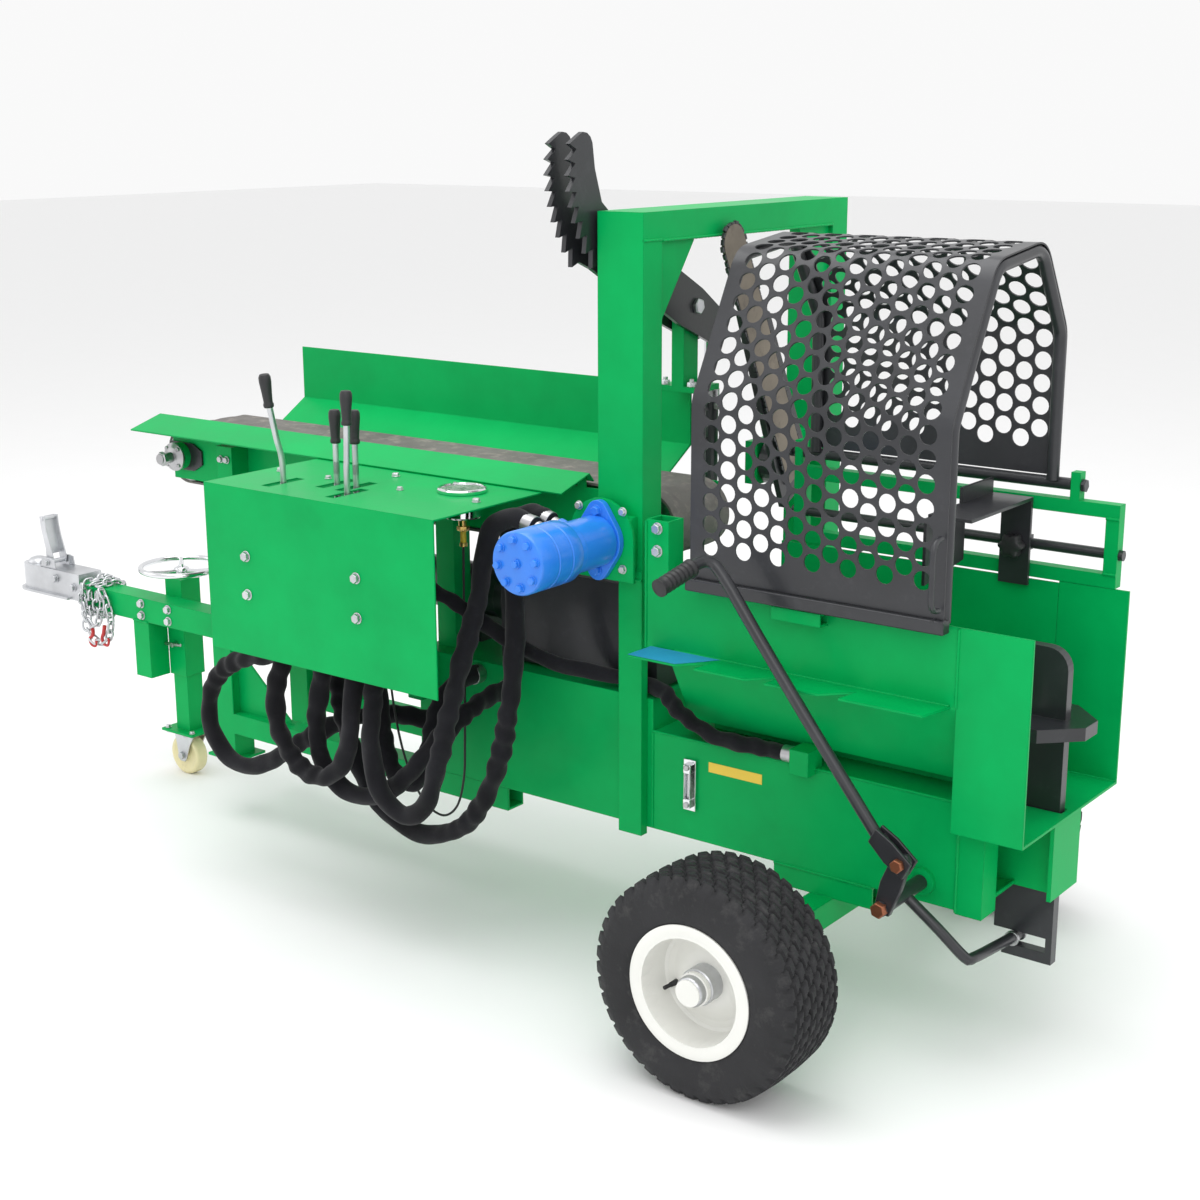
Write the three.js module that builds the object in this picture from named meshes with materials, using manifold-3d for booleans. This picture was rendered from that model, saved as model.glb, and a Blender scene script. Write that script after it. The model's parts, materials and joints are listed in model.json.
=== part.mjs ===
// A towed firewood processor: a log splitter with a feed conveyor, a swinging saw and a ram.
// Millimetres, +Z up. +X runs from the tow hitch to the split-wood outlet, +Y to the far side.
// It is laid out from the axle (x = 0), the trough's centre plane (y = 0) and the ground (z = 0),
// and the whole group is moved at the end so that its origin is under the middle of its box.
import * as THREE from "three";
import { mergeVertices } from "three/addons/utils/BufferGeometryUtils.js";
import Module from "manifold-3d";

const wasm = await Module();
wasm.setup();

// ---------- driving dimensions ----------
const GAP = 0.3; // between pieces that touch
const PLATE = 5; // folded sheet of the troughs
const WHEEL = { radius: 205, width: 168, track: 1012, rim: 102, flange: 120 };
const AXLE = { side: 50, z: 205, spindle: 12.5 };
const BEAM = { x0: -1000, x1: -386, half: 150, z0: 272, z1: 538 };
const TANK = { x0: BEAM.x1 + GAP, x1: 270, half: 150, z0: 272, z1: 474 };
const TROUGH = { x0: -317, x1: 280, half: 203, floor: 507, foot: 120, knee: 660, top: 804 };
const OUTLET = { x0: TROUGH.x1 + GAP, x1: 414, floor: 437 };
const RAM = { x0: -800, x1: -405, half: 112, z0: 545, z1: 745 };
const CYLINDER = { z: 645, x0: -1560, x1: -830, radius: 55, bore: 46, rod: 25 };
const WEDGE = { x0: 283, x1: 396, half: 11, z0: 148, z1: 740, wing: 588 };
const LEVER = { x: 205, y: -296, z: 312, reach: 174, pinZ: 183 };
const PORTAL = { x0: -505, x1: -400, near: -168, far: 570, post: 60, top: 1465, foot: 775 };
const BELT = { x0: -1830, x1: -480, y0: -45, y1: 145, z: 852, roller: 65, thick: 6 };
const COVER = { x0: -1285, x1: -657, y0: -472, y1: -130, z0: 566, top: 915, sheet: 3 };
const GUARD = { x0: -254, x1: 268, sheet: 3, tube: 11 };
const HINGE = { y: 207, z: 985 };
const FRAME = { y0: 197.5, y1: 222.5, x0: -290, x1: 387, low: 804.5, high: 958, tube: 25 };
const TONGUE = { x0: -2240, x1: -1660, y: -45, half: 30, z0: 415, z1: 475 };
const JACK = { x: -1953, y: 15.3, outer: 60, inner: 49, z0: 270, z1: 520 };
const CASTER = { x: -1965, radius: 52, width: 34 };
const CLAMP = { x: -543, y: 175, z: 1262, spread: 48, plate: 10, lugY: 262, lugZ: 1215 };
const SAW = { x: -381, y: 340, z: 930, reach: 560, rise: 63 };
const LEVERS = [
  { x: -1149, y: -380, top: 1140, lean: -38 },
  { x: -962, y: -385, top: 1118, lean: 6 },
  { x: -1050, y: -325, top: 1066, lean: 0 },
  { x: -996, y: -325, top: 1070, lean: 0 },
];
const VALVE = { x0: -1185, x1: -845, y0: -440, y1: -285, z0: 680, z1: 800 };
const HOSE = { radius: 19, slim: 15, sides: 8, step: 65 };
const PORTS = { x: -560.6, z: 882.2, y: [-240, -290] }; // the feed motor's two hose ports

// ---------- materials ----------
const paint = (color, roughness, metalness) =>
  new THREE.MeshStandardMaterial({ color, roughness, metalness });
const GREEN = paint(0x12a151, 0.4, 0.1);
const BLACK = paint(0x24262a, 0.45, 0.2);
const BLUE = paint(0x2f7fe0, 0.35, 0.1);
const STEEL = paint(0xb9bcc0, 0.35, 0.9);
const WHITE = paint(0xe9eae4, 0.4, 0.1);
const TYRE = paint(0x26272a, 0.85, 0);
const BELTING = paint(0x6e6a67, 0.9, 0);
const PLASTIC = paint(0x2b2d31, 0.6, 0);
const NYLON = paint(0xece3bd, 0.5, 0);
const SLEEVE = paint(0x1d1e22, 0.95, 0);

// ---------- solids ----------
function solid(geometry) {
  const bare = geometry.index ? geometry.toNonIndexed() : geometry;
  const points = new THREE.BufferGeometry();
  points.setAttribute("position", bare.getAttribute("position"));
  const merged = mergeVertices(points, 1e-3);
  const vertProperties = merged.attributes.position.array;
  const triVerts = new Uint32Array(merged.index.array);
  return new wasm.Manifold(new wasm.Mesh({ numProp: 3, vertProperties, triVerts }));
}

const join = (...parts) => parts.reduce((all, one) => all.add(one));
const cut = (body, ...tools) => tools.reduce((left, tool) => left.subtract(tool), body);

function block(x0, x1, y0, y1, z0, z1) {
  const box = new THREE.BoxGeometry(x1 - x0, y1 - y0, z1 - z0);
  return solid(box.translate((x0 + x1) / 2, (y0 + y1) / 2, (z0 + z1) / 2));
}

// An outline drawn in a plane and given thickness along the third axis, from a to b.
const PLANES = {
  yz: [new THREE.Vector3(0, 1, 0), new THREE.Vector3(0, 0, 1), new THREE.Vector3(1, 0, 0), 1],
  xy: [new THREE.Vector3(1, 0, 0), new THREE.Vector3(0, 1, 0), new THREE.Vector3(0, 0, 1), 1],
  xz: [new THREE.Vector3(1, 0, 0), new THREE.Vector3(0, 0, 1), new THREE.Vector3(0, -1, 0), -1],
};
function slab(plane, outline, a, b, hole) {
  const toShape = (points) => points.map(([u, v]) => new THREE.Vector2(u, v));
  const shape = new THREE.Shape(toShape(outline));
  if (hole) shape.holes.push(new THREE.Path(toShape(hole)));
  const [u, v, w, sign] = PLANES[plane];
  const start = sign > 0 ? a : -b;
  const geometry = new THREE.ExtrudeGeometry(shape, { depth: b - a, bevelEnabled: false });
  geometry.applyMatrix4(new THREE.Matrix4().makeBasis(u, v, w));
  geometry.translate(w.x * start, w.y * start, w.z * start);
  return solid(geometry);
}

// A round bar between two points.
function bar(from, to, radius, sides = 16) {
  const a = new THREE.Vector3(...from);
  const way = new THREE.Vector3(...to).sub(a);
  const geometry = new THREE.CylinderGeometry(radius, radius, way.length(), sides);
  geometry.translate(0, way.length() / 2, 0);
  const up = new THREE.Vector3(0, 1, 0);
  geometry.applyQuaternion(new THREE.Quaternion().setFromUnitVectors(up, way.normalize()));
  geometry.translate(a.x, a.y, a.z);
  return solid(geometry);
}

// A round rod, hose or bent tube along a smooth curve through the points.
function sweep(points, radius, sides, steps, tension = 0.5) {
  const at = points.map((p) => new THREE.Vector3(...p));
  const extrudePath = new THREE.CatmullRomCurve3(at, false, "catmullrom", tension);
  const ring = [];
  for (let i = 0; i < sides; i++) {
    const turn = (i / sides) * 2 * Math.PI;
    ring.push(new THREE.Vector2(radius * Math.cos(turn), radius * Math.sin(turn)));
  }
  const options = { steps, extrudePath, bevelEnabled: false };
  return solid(new THREE.ExtrudeGeometry(new THREE.Shape(ring), options));
}

// A ring turned about the Y axis from [radius, along] points.
function turned(profile, segments = 40) {
  const closed = [...profile, profile[0]].map(([r, y]) => new THREE.Vector2(r, y));
  const body = solid(new THREE.LatheGeometry(closed, segments));
  if (body.volume() > 0) return body;
  const reversed = [...closed].reverse();
  return solid(new THREE.LatheGeometry(reversed, segments));
}
const ring = (inner, outer, y0, y1, segments) =>
  turned([[inner, y0], [outer, y0], [outer, y1], [inner, y1]], segments);

// An open line of points given thickness on its left side, as a folded sheet.
function folded(line, thick) {
  const shifted = line.map((point, i) => {
    const before = line[Math.max(i - 1, 0)];
    const after = line[Math.min(i + 1, line.length - 1)];
    const normal = (p, q) => {
      const length = Math.hypot(q[0] - p[0], q[1] - p[1]) || 1;
      return [-(q[1] - p[1]) / length, (q[0] - p[0]) / length];
    };
    const first = i ? normal(before, point) : normal(point, after);
    const second = i < line.length - 1 ? normal(point, after) : first;
    const dot = 1 + first[0] * second[0] + first[1] * second[1];
    return [0, 1].map((k) => point[k] + (thick * (first[k] + second[k])) / dot);
  });
  return [...line, ...shifted.reverse()];
}

// The corners of a line rounded to a radius.
function softened(line, radius, steps = 4) {
  const out = [line[0]];
  for (let i = 1; i < line.length - 1; i++) {
    const [p, c, n] = [line[i - 1], line[i], line[i + 1]].map((q) => new THREE.Vector2(...q));
    const into = p.clone().sub(c).normalize();
    const away = n.clone().sub(c).normalize();
    const half = Math.acos(into.dot(away)) / 2;
    const back = radius / Math.tan(half);
    const start = c.clone().addScaledVector(into, back);
    const end = c.clone().addScaledVector(away, back);
    const curve = new THREE.QuadraticBezierCurve(start, c, end);
    for (const q of curve.getPoints(steps)) out.push([q.x, q.y]);
  }
  out.push(line[line.length - 1]);
  return out;
}

function arc(cx, cy, radius, from, to, steps) {
  const points = [];
  for (let i = 0; i <= steps; i++) {
    const turn = THREE.MathUtils.degToRad(from + ((to - from) * i) / steps);
    points.push([cx + radius * Math.cos(turn), cy + radius * Math.sin(turn)]);
  }
  return points;
}

const machine = new THREE.Group();

function piece(name, body, material, place) {
  const made = body.getMesh();
  const geometry = new THREE.BufferGeometry();
  geometry.setAttribute("position", new THREE.BufferAttribute(made.vertProperties, 3));
  geometry.setIndex(new THREE.BufferAttribute(made.triVerts, 1));
  geometry.computeVertexNormals();
  const mesh = new THREE.Mesh(geometry, material);
  mesh.name = name;
  if (place) mesh.position.set(...place);
  machine.add(mesh);
  return mesh;
}

// ---------- chassis ----------
function mainBeam() {
  const { x0, x1, half, z0, z1 } = BEAM;
  const wall = 8;
  const hollow = block(x0 - 1, x1 - wall, wall - half, half - wall, z0 + wall, z1 - wall);
  piece("main_beam", cut(block(x0, x1, -half, half, z0, z1), hollow), GREEN);
}

function oilTank() {
  const { x0, x1, half, z0, z1 } = TANK;
  const wall = 5;
  const hollow = block(x0 - 1, x1 - wall, wall - half, half - wall, z0 + wall, z1 - wall);
  const collar = bar([LEVER.x, -half - 8, LEVER.z], [LEVER.x, wall - half, LEVER.z], 26);
  const inlet = block(-60, -20, -178, -128, z1 - 10, z1 + 38);
  const shell = cut(block(x0, x1, -half, half, z0, z1), hollow);
  piece("oil_tank", join(shell, collar, inlet), GREEN);
}

function levelGauge() {
  const face = -TANK.half - GAP;
  const body = block(-307, -283, face - 18, face, 332, 436);
  const window = block(-302, -288, face - 20, face - 10, 358, 410);
  piece("level_gauge", cut(body, window), STEEL);
}

function axle() {
  const half = AXLE.side / 2;
  const end = WHEEL.track / 2 - 88;
  const tip = WHEEL.track / 2 + 54;
  const tube = block(-half, half, -end, end, AXLE.z - half, AXLE.z + half);
  const spindle = bar([0, -tip, AXLE.z], [0, tip, AXLE.z], AXLE.spindle, 24);
  const mounts = [-1, 1].map((side) => {
    const y = side * (TANK.half - 25);
    const outside = block(-105, 105, y - 25, y + 25, AXLE.z + half - 1, TANK.z0 - GAP);
    return cut(outside, block(-106, 106, y - 20, y + 20, AXLE.z + half + 4, TANK.z0 - 5));
  });
  piece("axle", join(tube, spindle, ...mounts), GREEN);
}

function wheel(name, side) {
  const { radius, rim, flange, track } = WHEEL;
  const centre = (side * track) / 2;
  const bore = AXLE.spindle + 0.5;
  const hub = ring(bore, 30, -60, 60, 24);
  const cap = turned([[0, 56], [30, 56], [30, 66], [24, 68], [24, 84], [0, 84]], 24);
  const disc = ring(28, rim - 2, 8, 14, 32);
  const barrel = ring(rim - 5, rim, -78, 78, 32);
  const lips = [-1, 1].map((end) => ring(rim - 5, flange, end * 80 - 2, end * 80 + 2, 32));
  const rimBody = join(hub, cap, disc, barrel, ...lips);
  const half = [[rim + GAP, 77], [flange + 1.5, 77], [flange + 4, 83], [155, 84], [190, 77],
    [radius, 36]];
  const tread = [...half, ...half.map(([r, y]) => [r, -y]).reverse()];
  const tyre = turned(tread, 32);
  for (const [label, body, look] of [["rim", rimBody, WHITE], ["tyre", tyre, TYRE]]) {
    const mesh = piece(`${label}_${name}`, body, look, [0, centre, AXLE.z]);
    if (side < 0) mesh.rotation.z = Math.PI;
  }
}

function frontFrame() {
  const legs = [-150, 90].map((y) => block(-1660, -1600, y, y + 60, 164, 480));
  const feet = [-165, 75].map((y) => block(-1680, -1580, y, y + 90, 158, 164));
  const head = block(-1660, -1600, -150, 212, 420, 480);
  const rails = [-150, 100].map((y) => {
    const tube = block(-1601, -759, y, y + 50, 222, BEAM.z0 - GAP);
    return cut(tube, block(-1500, -758, y + 5, y + 45, 227, BEAM.z0 - 5));
  });
  const corner = [[-1601, 270], [-1420, 270], [-1601, 430]];
  const webs = [-128, 122].map((y) => slab("xz", corner, y, y + 6));
  const anchor = block(-1650, -1601, -60, 60, 479, 700);
  const body = join(head, ...legs, ...feet, ...rails, ...webs, anchor);
  piece("front_frame", body, GREEN);
}

// ---------- splitting trough, outlet and wedge ----------
function trough() {
  const { x0, x1, half, floor, foot, knee, top } = TROUGH;
  const inner = half - PLATE;
  const line = [[-inner, top], [-inner, knee], [-foot, floor + PLATE], [foot, floor + PLATE],
    [inner, knee], [inner, top - 4]];
  const shell = slab("yz", folded(line, -PLATE), x0, x1);
  const webs = [-60, 60].map((y) => block(-300, 260, y - 4, y + 4, TANK.z1 + GAP, floor + 1));
  const bracket = block(-366, -315, -half, -155, 655, 908);
  const socket = block(-361, -320, -half + 5, -160, 700, 909);
  const rest = block(-74, 27, -230, -half + 1, 768, 792);
  const restHole = block(-75, 28, -226, -half - 1, 772, 788);
  const body = join(shell, ...webs, cut(bracket, socket), cut(rest, restHole));
  piece("split_trough", body, GREEN);
}

// A notched gate outside the near wall, beside which the lift lever stands.
function leverGate() {
  const root = -TROUGH.half - GAP;
  const edge = -278;
  const outline = [[-345, root]];
  for (let i = 0; i < 4; i++) {
    const x = -366 + i * 150;
    outline.push([x + 10, edge], [x + 118, edge], [x + 168, root - 22]);
  }
  outline.pop();
  outline.push([256, edge], [270, root]);
  piece("lever_gate", slab("xy", outline, 660, 664), GREEN);
}

function outlet() {
  const { x0, x1, floor } = OUTLET;
  const half = TROUGH.half;
  const walls = [-half, half - PLATE].map((y) => block(x0, x1, y, y + PLATE, floor, TROUGH.top));
  const base = block(x0, x1, -half, half, floor, floor + PLATE);
  const slot = block(x0 - 1, 400, -14, 14, floor - 1, floor + PLATE + 1);
  piece("outlet_chute", cut(join(...walls, base), slot), GREEN);
}

function wedgeGuide() {
  const top = OUTLET.floor - GAP;
  const posts = [-150, 93].map((y) => block(TANK.x1 + GAP, 321, y, y + 57, 265, top));
  const shelves = [-94, 19].map((y) => block(280, 321, y, y + 75, 290, 296));
  const cheeks = [-20, 13].map((y) => block(279, 401, y, y + 7, 290, top));
  const face = block(400, 408, -57, 57, 290, top);
  piece("wedge_guide", join(...posts, ...shelves, ...cheeks, face), GREEN);
}

function wedge() {
  const { x0, x1, half, z0, z1, wing } = WEDGE;
  const pinZ = LEVER.pinZ;
  const shankTop = OUTLET.floor + 20;
  const shank = slab("xz", [[300, z0], [x1, z0], [x1, shankTop], [x0, shankTop], [x0, pinZ + 14],
    [384, pinZ + 14], [384, pinZ - 14], [300, pinZ - 14]], -half, half);
  const knife = [[290, 0], [320, -half], [x1, -half], [x1, half], [320, half]];
  const corner = [[280, 400], [x1, 400], ...arc(x1 - 40, z1 - 40, 40, 0, 90, 6), [280, z1]];
  const blade = slab("xy", knife, shankTop - 1, z1).intersect(slab("xz", corner, -30, 30));
  const wings = [[302, 0], [345, -88], [378, -88], [440, -26], [440, 26], [378, 88], [345, 88]];
  const cross = slab("xy", wings, wing, wing + 24);
  piece("wedge", join(shank, blade, cross), BLACK);
}

function wedgeLever() {
  const { x, y, z, pinZ } = LEVER;
  const pin = [x + 117, 0, pinZ];
  const shaft = bar([x, y - 10, z], [x, -TANK.half - 8 - GAP, z], 14, 16);
  const crank = sweep([[x, -216, z - 4], [x + 62, -210, z - 52], [x + 112, -198, z - 99],
    [x + 120, -180, z - 104], [pin[0] + 2, -90, pinZ + 12], pin, [pin[0], 20, pinZ]], 10, 8, 18);
  const link = slab("xz", [[x - 16, z - 8], [x + 16, z - 8], [x + 50, z + 98], [x + 18, z + 104]],
    y - 6, y + 6);
  const fork = slab("xz", [[x + 2, z + 92], [x + 40, z + 68], [x + 58, z + 98], [x - 12, z + 142],
    [x - 26, z + 120]], y - 14, y + 14);
  const cheekPin = bar([x + 34, y - 24, z + 91], [x + 34, y + 20, z + 91], 9, 12);
  const rod = sweep([[x - 10, y, z + 122], [x - 170, y, z + 322], [x - 340, y, z + 541],
    [x - 362, y - 6, z + 561], [x - 373, y - 26, z + 562], [x - 374, y - 34, z + 560]],
    11, 10, 18);
  const end = [x - 384, y - 118, z + 538];
  const tip = bar([x - 373.4, y - 30, z + 561], end, 11, 12);
  const body = join(shaft, crank, link, fork, cheekPin, rod, tip);
  piece("wedge_lever", body, BLACK);
  const grip = bar([x - 375, y - 42, z + 557.9], [x - 385.4, y - 130, z + 534.9], 17, 14);
  piece("lever_grip", cut(grip, bar([x - 373.4, y - 30, z + 561], end, 12, 12)), PLASTIC);
}

// ---------- ram ----------
function ram() {
  const { x0, x1, half, z0, z1 } = RAM;
  const wall = 12;
  const hollow = block(x0 - 1, x1 - wall, wall - half, half - wall, z0 + wall, z1 - wall);
  piece("ram", cut(block(x0, x1, -half, half, z0, z1), hollow), BLACK);

  const c = CYLINDER;
  const tube = bar([c.x0, 0, c.z], [c.x1, 0, c.z], c.radius, 32);
  const bore = bar([c.x0 + 14, 0, c.z], [c.x1 - 12, 0, c.z], c.bore, 32);
  const mouth = bar([c.x1 - 20, 0, c.z], [c.x1 + 1, 0, c.z], c.rod + 1, 32);
  const lug = block(-1600.7, c.x0 + 2, -20, 20, c.z - 35, c.z + 35);
  const saddle = block(-960, -920, -40, 40, BEAM.z1 + GAP, c.z - 45);
  piece("cylinder_barrel", cut(join(tube, lug, saddle), bore, mouth), BLACK);

  const rod = bar([c.x0 + 40, 0, c.z], [x1 - wall - GAP, 0, c.z], c.rod, 32);
  const piston = bar([c.x0 + 24, 0, c.z], [c.x0 + 54, 0, c.z], c.bore - 0.2, 32);
  piece("cylinder_rod", join(rod, piston), STEEL);
}

// ---------- saw portal ----------
function portal() {
  const { x0, x1, near, far, post, top, foot } = PORTAL;
  const nearPost = block(x0, x1, near, near + post, foot, top);
  const farPost = block(x0, x1, far - post, far, 300, top);
  const head = block(x0, x1, near, far, top - 53, top);
  const leg = block(-455, -400, -170, -BEAM.half - GAP, 258, foot + 20);
  const sill = block(x0, x1, BEAM.half + GAP, far - 1, 300, 360);
  const brace = (y, way) => slab("yz", [[y, top - 50], [y + way * 125, top - 50], [y, top - 220]],
    x1 - 20, x1 - 10);
  const bracket = block(-470, -440, SAW.y - 45, far - post + 1, SAW.z - 45, SAW.z + 45);
  const bore = bar([-480, SAW.y, SAW.z], [-430, SAW.y, SAW.z], 21, 24);
  const drive = bar([BELT.x1, near - 5, BELT.z], [BELT.x1, near + post + 5, BELT.z], 17, 20);
  const inside = near + post - 1;
  const body = join(cut(nearPost, drive), farPost, head, leg, sill, brace(inside, 1),
    brace(far - post + 1, -1), cut(bracket, bore));
  piece("saw_portal", body, GREEN);
}

function saw() {
  const rise = THREE.MathUtils.degToRad(SAW.rise);
  const along = (d, s) => [
    SAW.y - d * Math.cos(rise) - s * Math.sin(rise),
    SAW.z + d * Math.sin(rise) - s * Math.cos(rise),
  ];
  const motor = bar([-436, SAW.y, SAW.z], [-398, SAW.y, SAW.z], 48, 28);
  const stub = bar([-476, SAW.y, SAW.z], [-430, SAW.y, SAW.z], 20.7, 24);
  const arm = slab("yz", [along(-70, -62), along(330, -62), along(380, -20), along(380, 30),
    along(-70, 62)], -398.5, -385.3);
  piece("saw_arm", join(motor, stub, arm), BLACK);

  const nose = [];
  for (let i = 0; i <= 8; i++) {
    const turn = (-90 + (i * 180) / 8) * (Math.PI / 180);
    nose.push(along(SAW.reach - 36 + 36 * Math.cos(turn), 36 * Math.sin(turn)));
  }
  const bar0 = slab("yz", [...nose, along(-30, 36), along(-30, -36)], -385, -378);
  piece("saw_bar", bar0, STEEL);
}

// ---------- log clamp ----------
// The teeth run down a curved edge, each one hooked towards the log.
function clampOutline() {
  const { y, z, lugY, lugZ } = CLAMP;
  const edge = new THREE.QuadraticBezierCurve(new THREE.Vector2(-211, 1601),
    new THREE.Vector2(-250, 1490), new THREE.Vector2(-150, 1368));
  const teeth = 9;
  const outline = [];
  for (let i = 0; i < teeth; i++) {
    const root = edge.getPoint(i / teeth);
    const along = edge.getTangent((i + 0.8) / teeth);
    const tip = edge.getPoint((i + 0.8) / teeth).add(new THREE.Vector2(along.y, -along.x)
      .multiplyScalar(22));
    outline.push([root.x, root.y], [tip.x, tip.y]);
  }
  outline.push([-150, 1368], [-110, 1352], [y - 55, z - 34], [lugY - 34, lugZ - 32]);
  outline.push(...arc(lugY, lugZ, 30, -100, 50, 4), [y + 20, z + 34], [-110, 1455]);
  outline.push([-142, 1480], [-163, 1541], ...arc(-196, 1580, 27, 15, 95, 3));
  return outline;
}

function clampArm() {
  const { x, y, z, spread, plate } = CLAMP;
  const plates = [-1, 1].map((side) => {
    const middle = x + (side * spread) / 2;
    return slab("yz", clampOutline(), middle - plate / 2, middle + plate / 2);
  });
  const across = (py, pz, r) => bar([x - spread / 2, py, pz], [x + spread / 2, py, pz], r);
  piece("clamp_arm", join(...plates, across(y, z, 12), across(-80, 1395, 14)), BLACK);
}

function clampCylinder() {
  const { x, lugY, lugZ } = CLAMP;
  const barrel = bar([x, lugY, 850], [x, lugY, 1085], 22, 20);
  const bore = bar([x, lugY, 862], [x, lugY, 1086], 10.5, 16);
  const feet = [985, 1040].map((h) => block(x - 14, x + 14, 234 + GAP, lugY - 12, h, h + 30));
  piece("clamp_cylinder", cut(join(barrel, ...feet), bore), BLACK);
  const rod = bar([x, lugY, 880], [x, lugY, lugZ - 14], 9.5, 16);
  const eye = block(x - 15, x + 15, lugY - 17, lugY + 17, lugZ - 20, lugZ + 16);
  const hole = bar([x - 20, lugY, lugZ], [x + 20, lugY, lugZ], 10.5, 16);
  piece("clamp_rod", cut(join(rod, eye), hole), STEEL);
}

// ---------- conveyor ----------
function conveyor() {
  const { x0, x1, y0, y1, z, roller, thick } = BELT;
  const sides = [[y0 - 15, y0 - 10], [y1 + 5, y1 + 10]].map(([a, b]) =>
    block(x0 - 35, -440, a, b, 795, COVER.top));
  const ties = [-1690, -700].map((x) => block(x, x + 40, y0 - 14, y1 + 9, 838, 868));
  const frontLegs = [y0 - 65, y1 + 10].map((y) => block(-1655, -1605, y, y + 50, 480.3, 900));
  const rearLegs = [
    block(-980, -930, y0 - 65, y0 - 14, BEAM.z1 + GAP, 900),
    block(-980, -930, y1 + 9, y1 + 60, 330, 900),
    block(-980, -930, BEAM.half + GAP, y1 + 60, 330, 480),
  ];
  const bearing = bar([x0, y0 - 40, z], [x0, y0 - 14, z], 32, 24);
  const tabs = [-1850, -1500, -1150, -800, -640].map((x) =>
    block(x, x + 20, y0 - 15, y0 - 10, COVER.top - 2, COVER.top + 18));
  const drillIdler = bar([x0, y0 - 50, z], [x0, y1 + 40, z], 13.5, 24);
  const drillDrive = bar([x1, y0 - 50, z], [x1, y1 + 40, z], 16, 24);
  const solidFrame = join(...sides, ...ties, ...frontLegs, ...rearLegs, ...tabs, bearing);
  piece("conveyor_frame", cut(solidFrame, drillIdler, drillDrive), GREEN);

  const loop = (r) => [...arc(x1, z, r, -90, 90, 12), ...arc(x0, z, r, 90, 270, 12)];
  const inner = roller + GAP;
  piece("conveyor_belt", slab("xz", loop(inner + thick), y0, y1, loop(inner)), BELTING);

  const drumRadius = roller * Math.cos(Math.PI / 24); // its corners clear the belt's flats
  const drum = (x) => bar([x, y0 + 1, z], [x, y1 - 1, z], drumRadius, 24);
  const shaft = (x, a, r) => bar([x, a, z], [x, y1 + 25, z], r - GAP, 24);
  piece("drive_roller", join(drum(x1), shaft(x1, -180, 15.5)), STEEL);
  piece("idler_roller", join(drum(x0), shaft(x0, y0 - 75, 13)), STEEL);
}

function infeed() {
  const flap = [[-152, 916], [-62, 942], [-48, 926.5]];
  piece("infeed_guide", slab("yz", folded(flap, 3), -1905, -608), GREEN);

  const wall = [[151, 919], [230, 967], [230, 1090]];
  const sheet = slab("yz", folded(wall, -4), -1712, -565);
  const { x, y, z } = CLAMP;
  const flange = block(x - 52, x + 43, 150, 238, 1088, 1100);
  const post = block(x - 15, x + 15, 150, 200, 1099, z + 28);
  const bore = bar([x - 20, y, z], [x + 20, y, z], 13, 24);
  piece("infeed_wall", cut(join(sheet, flange, post), bore), GREEN);
}

function feedMotor() {
  const { x1, z } = BELT;
  const arch = [[x1 - 76, 775], [x1 + 76, 775], ...arc(x1, 856, 76, 0, 180, 12)];
  const plate = slab("xz", arch, -192, -186);
  const spacer = block(PORTAL.x0 + 12, PORTAL.x1 - 12, -187, PORTAL.near - GAP, 805, 900);
  const bore = bar([x1, -200, z], [x1, -160, z], 17.5, 20);
  piece("motor_plate", cut(join(plate, spacer), bore), GREEN);

  const flange = slab("xz", [...arc(x1, z, 54, -30, 30, 4), ...arc(x1 - 6, z + 54, 22, 40, 140, 5),
    ...arc(x1, z, 54, 150, 210, 4), ...arc(x1 + 6, z - 54, 22, 220, 320, 5)], -206, -192.3);
  const neck = bar([x1, -320, z], [x1, -205, z], 52, 32);
  const body = bar([x1, -452, z], [x1, -319, z], 61, 32);
  const ports = PORTS.y.map((y) => bar([x1 - 10, y, z], [PORTS.x + GAP, y, PORTS.z], 16, 12));
  piece("feed_motor", join(flange, neck, body, ...ports), BLUE);
}

// ---------- controls ----------
function controls() {
  const { x0, x1, y0, y1, z0, top, sheet } = COVER;
  const panel = block(x0, x1, y0, y0 + sheet, z0, top);
  const roof = block(x0, x1, y0, y1, top - sheet, top);
  const slots = LEVERS.map(({ x, y }) => block(x - 12, x + 12, y - 50, y + 50, top - 9, top + 1));
  const gaugeHole = bar([-790, -238, top - 10], [-790, -238, top + 5], 42, 28);
  piece("control_cover", cut(join(panel, roof), ...slots, gaugeHole), GREEN);

  const bank = block(VALVE.x0, VALVE.x1, VALVE.y0, VALVE.y1, VALVE.z0, VALVE.z1);
  const stays = [-1168, -860].flatMap((x) => [695, 775].map((z) =>
    bar([x, y0 + sheet + GAP, z], [x, -439, z], 10, 12)));
  const arm = block(-990, -950, -286, -BEAM.half - GAP, 440, 740);
  piece("valve_bank", join(bank, ...stays, arm), BLUE);

  LEVERS.forEach(({ x, y, top: tip, lean }, i) => {
    const bend = top + 45;
    const rod = bar([x, y, VALVE.z1 + 2.6], [x, y, bend], 7, 10);
    const upper = bar([x, y, bend - 4], [x, y + lean, tip - 40], 6.5, 10);
    const knob = bar([x, y + lean * 0.75, tip - 72], [x, y + lean, tip], 12, 12);
    piece(`control_lever_${i + 1}`, join(rod, upper, knob), STEEL);
  });

  const dial = bar([-790, -238, 862], [-790, -238, top + 4], 40, 28);
  const bezel = bar([-790, -238, top + GAP], [-790, -238, top + 9], 50, 28);
  const stem = bar([-790, -238, 815], [-790, -238, 863], 9, 12);
  piece("pressure_gauge", join(dial, bezel, stem), STEEL);
}

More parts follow.
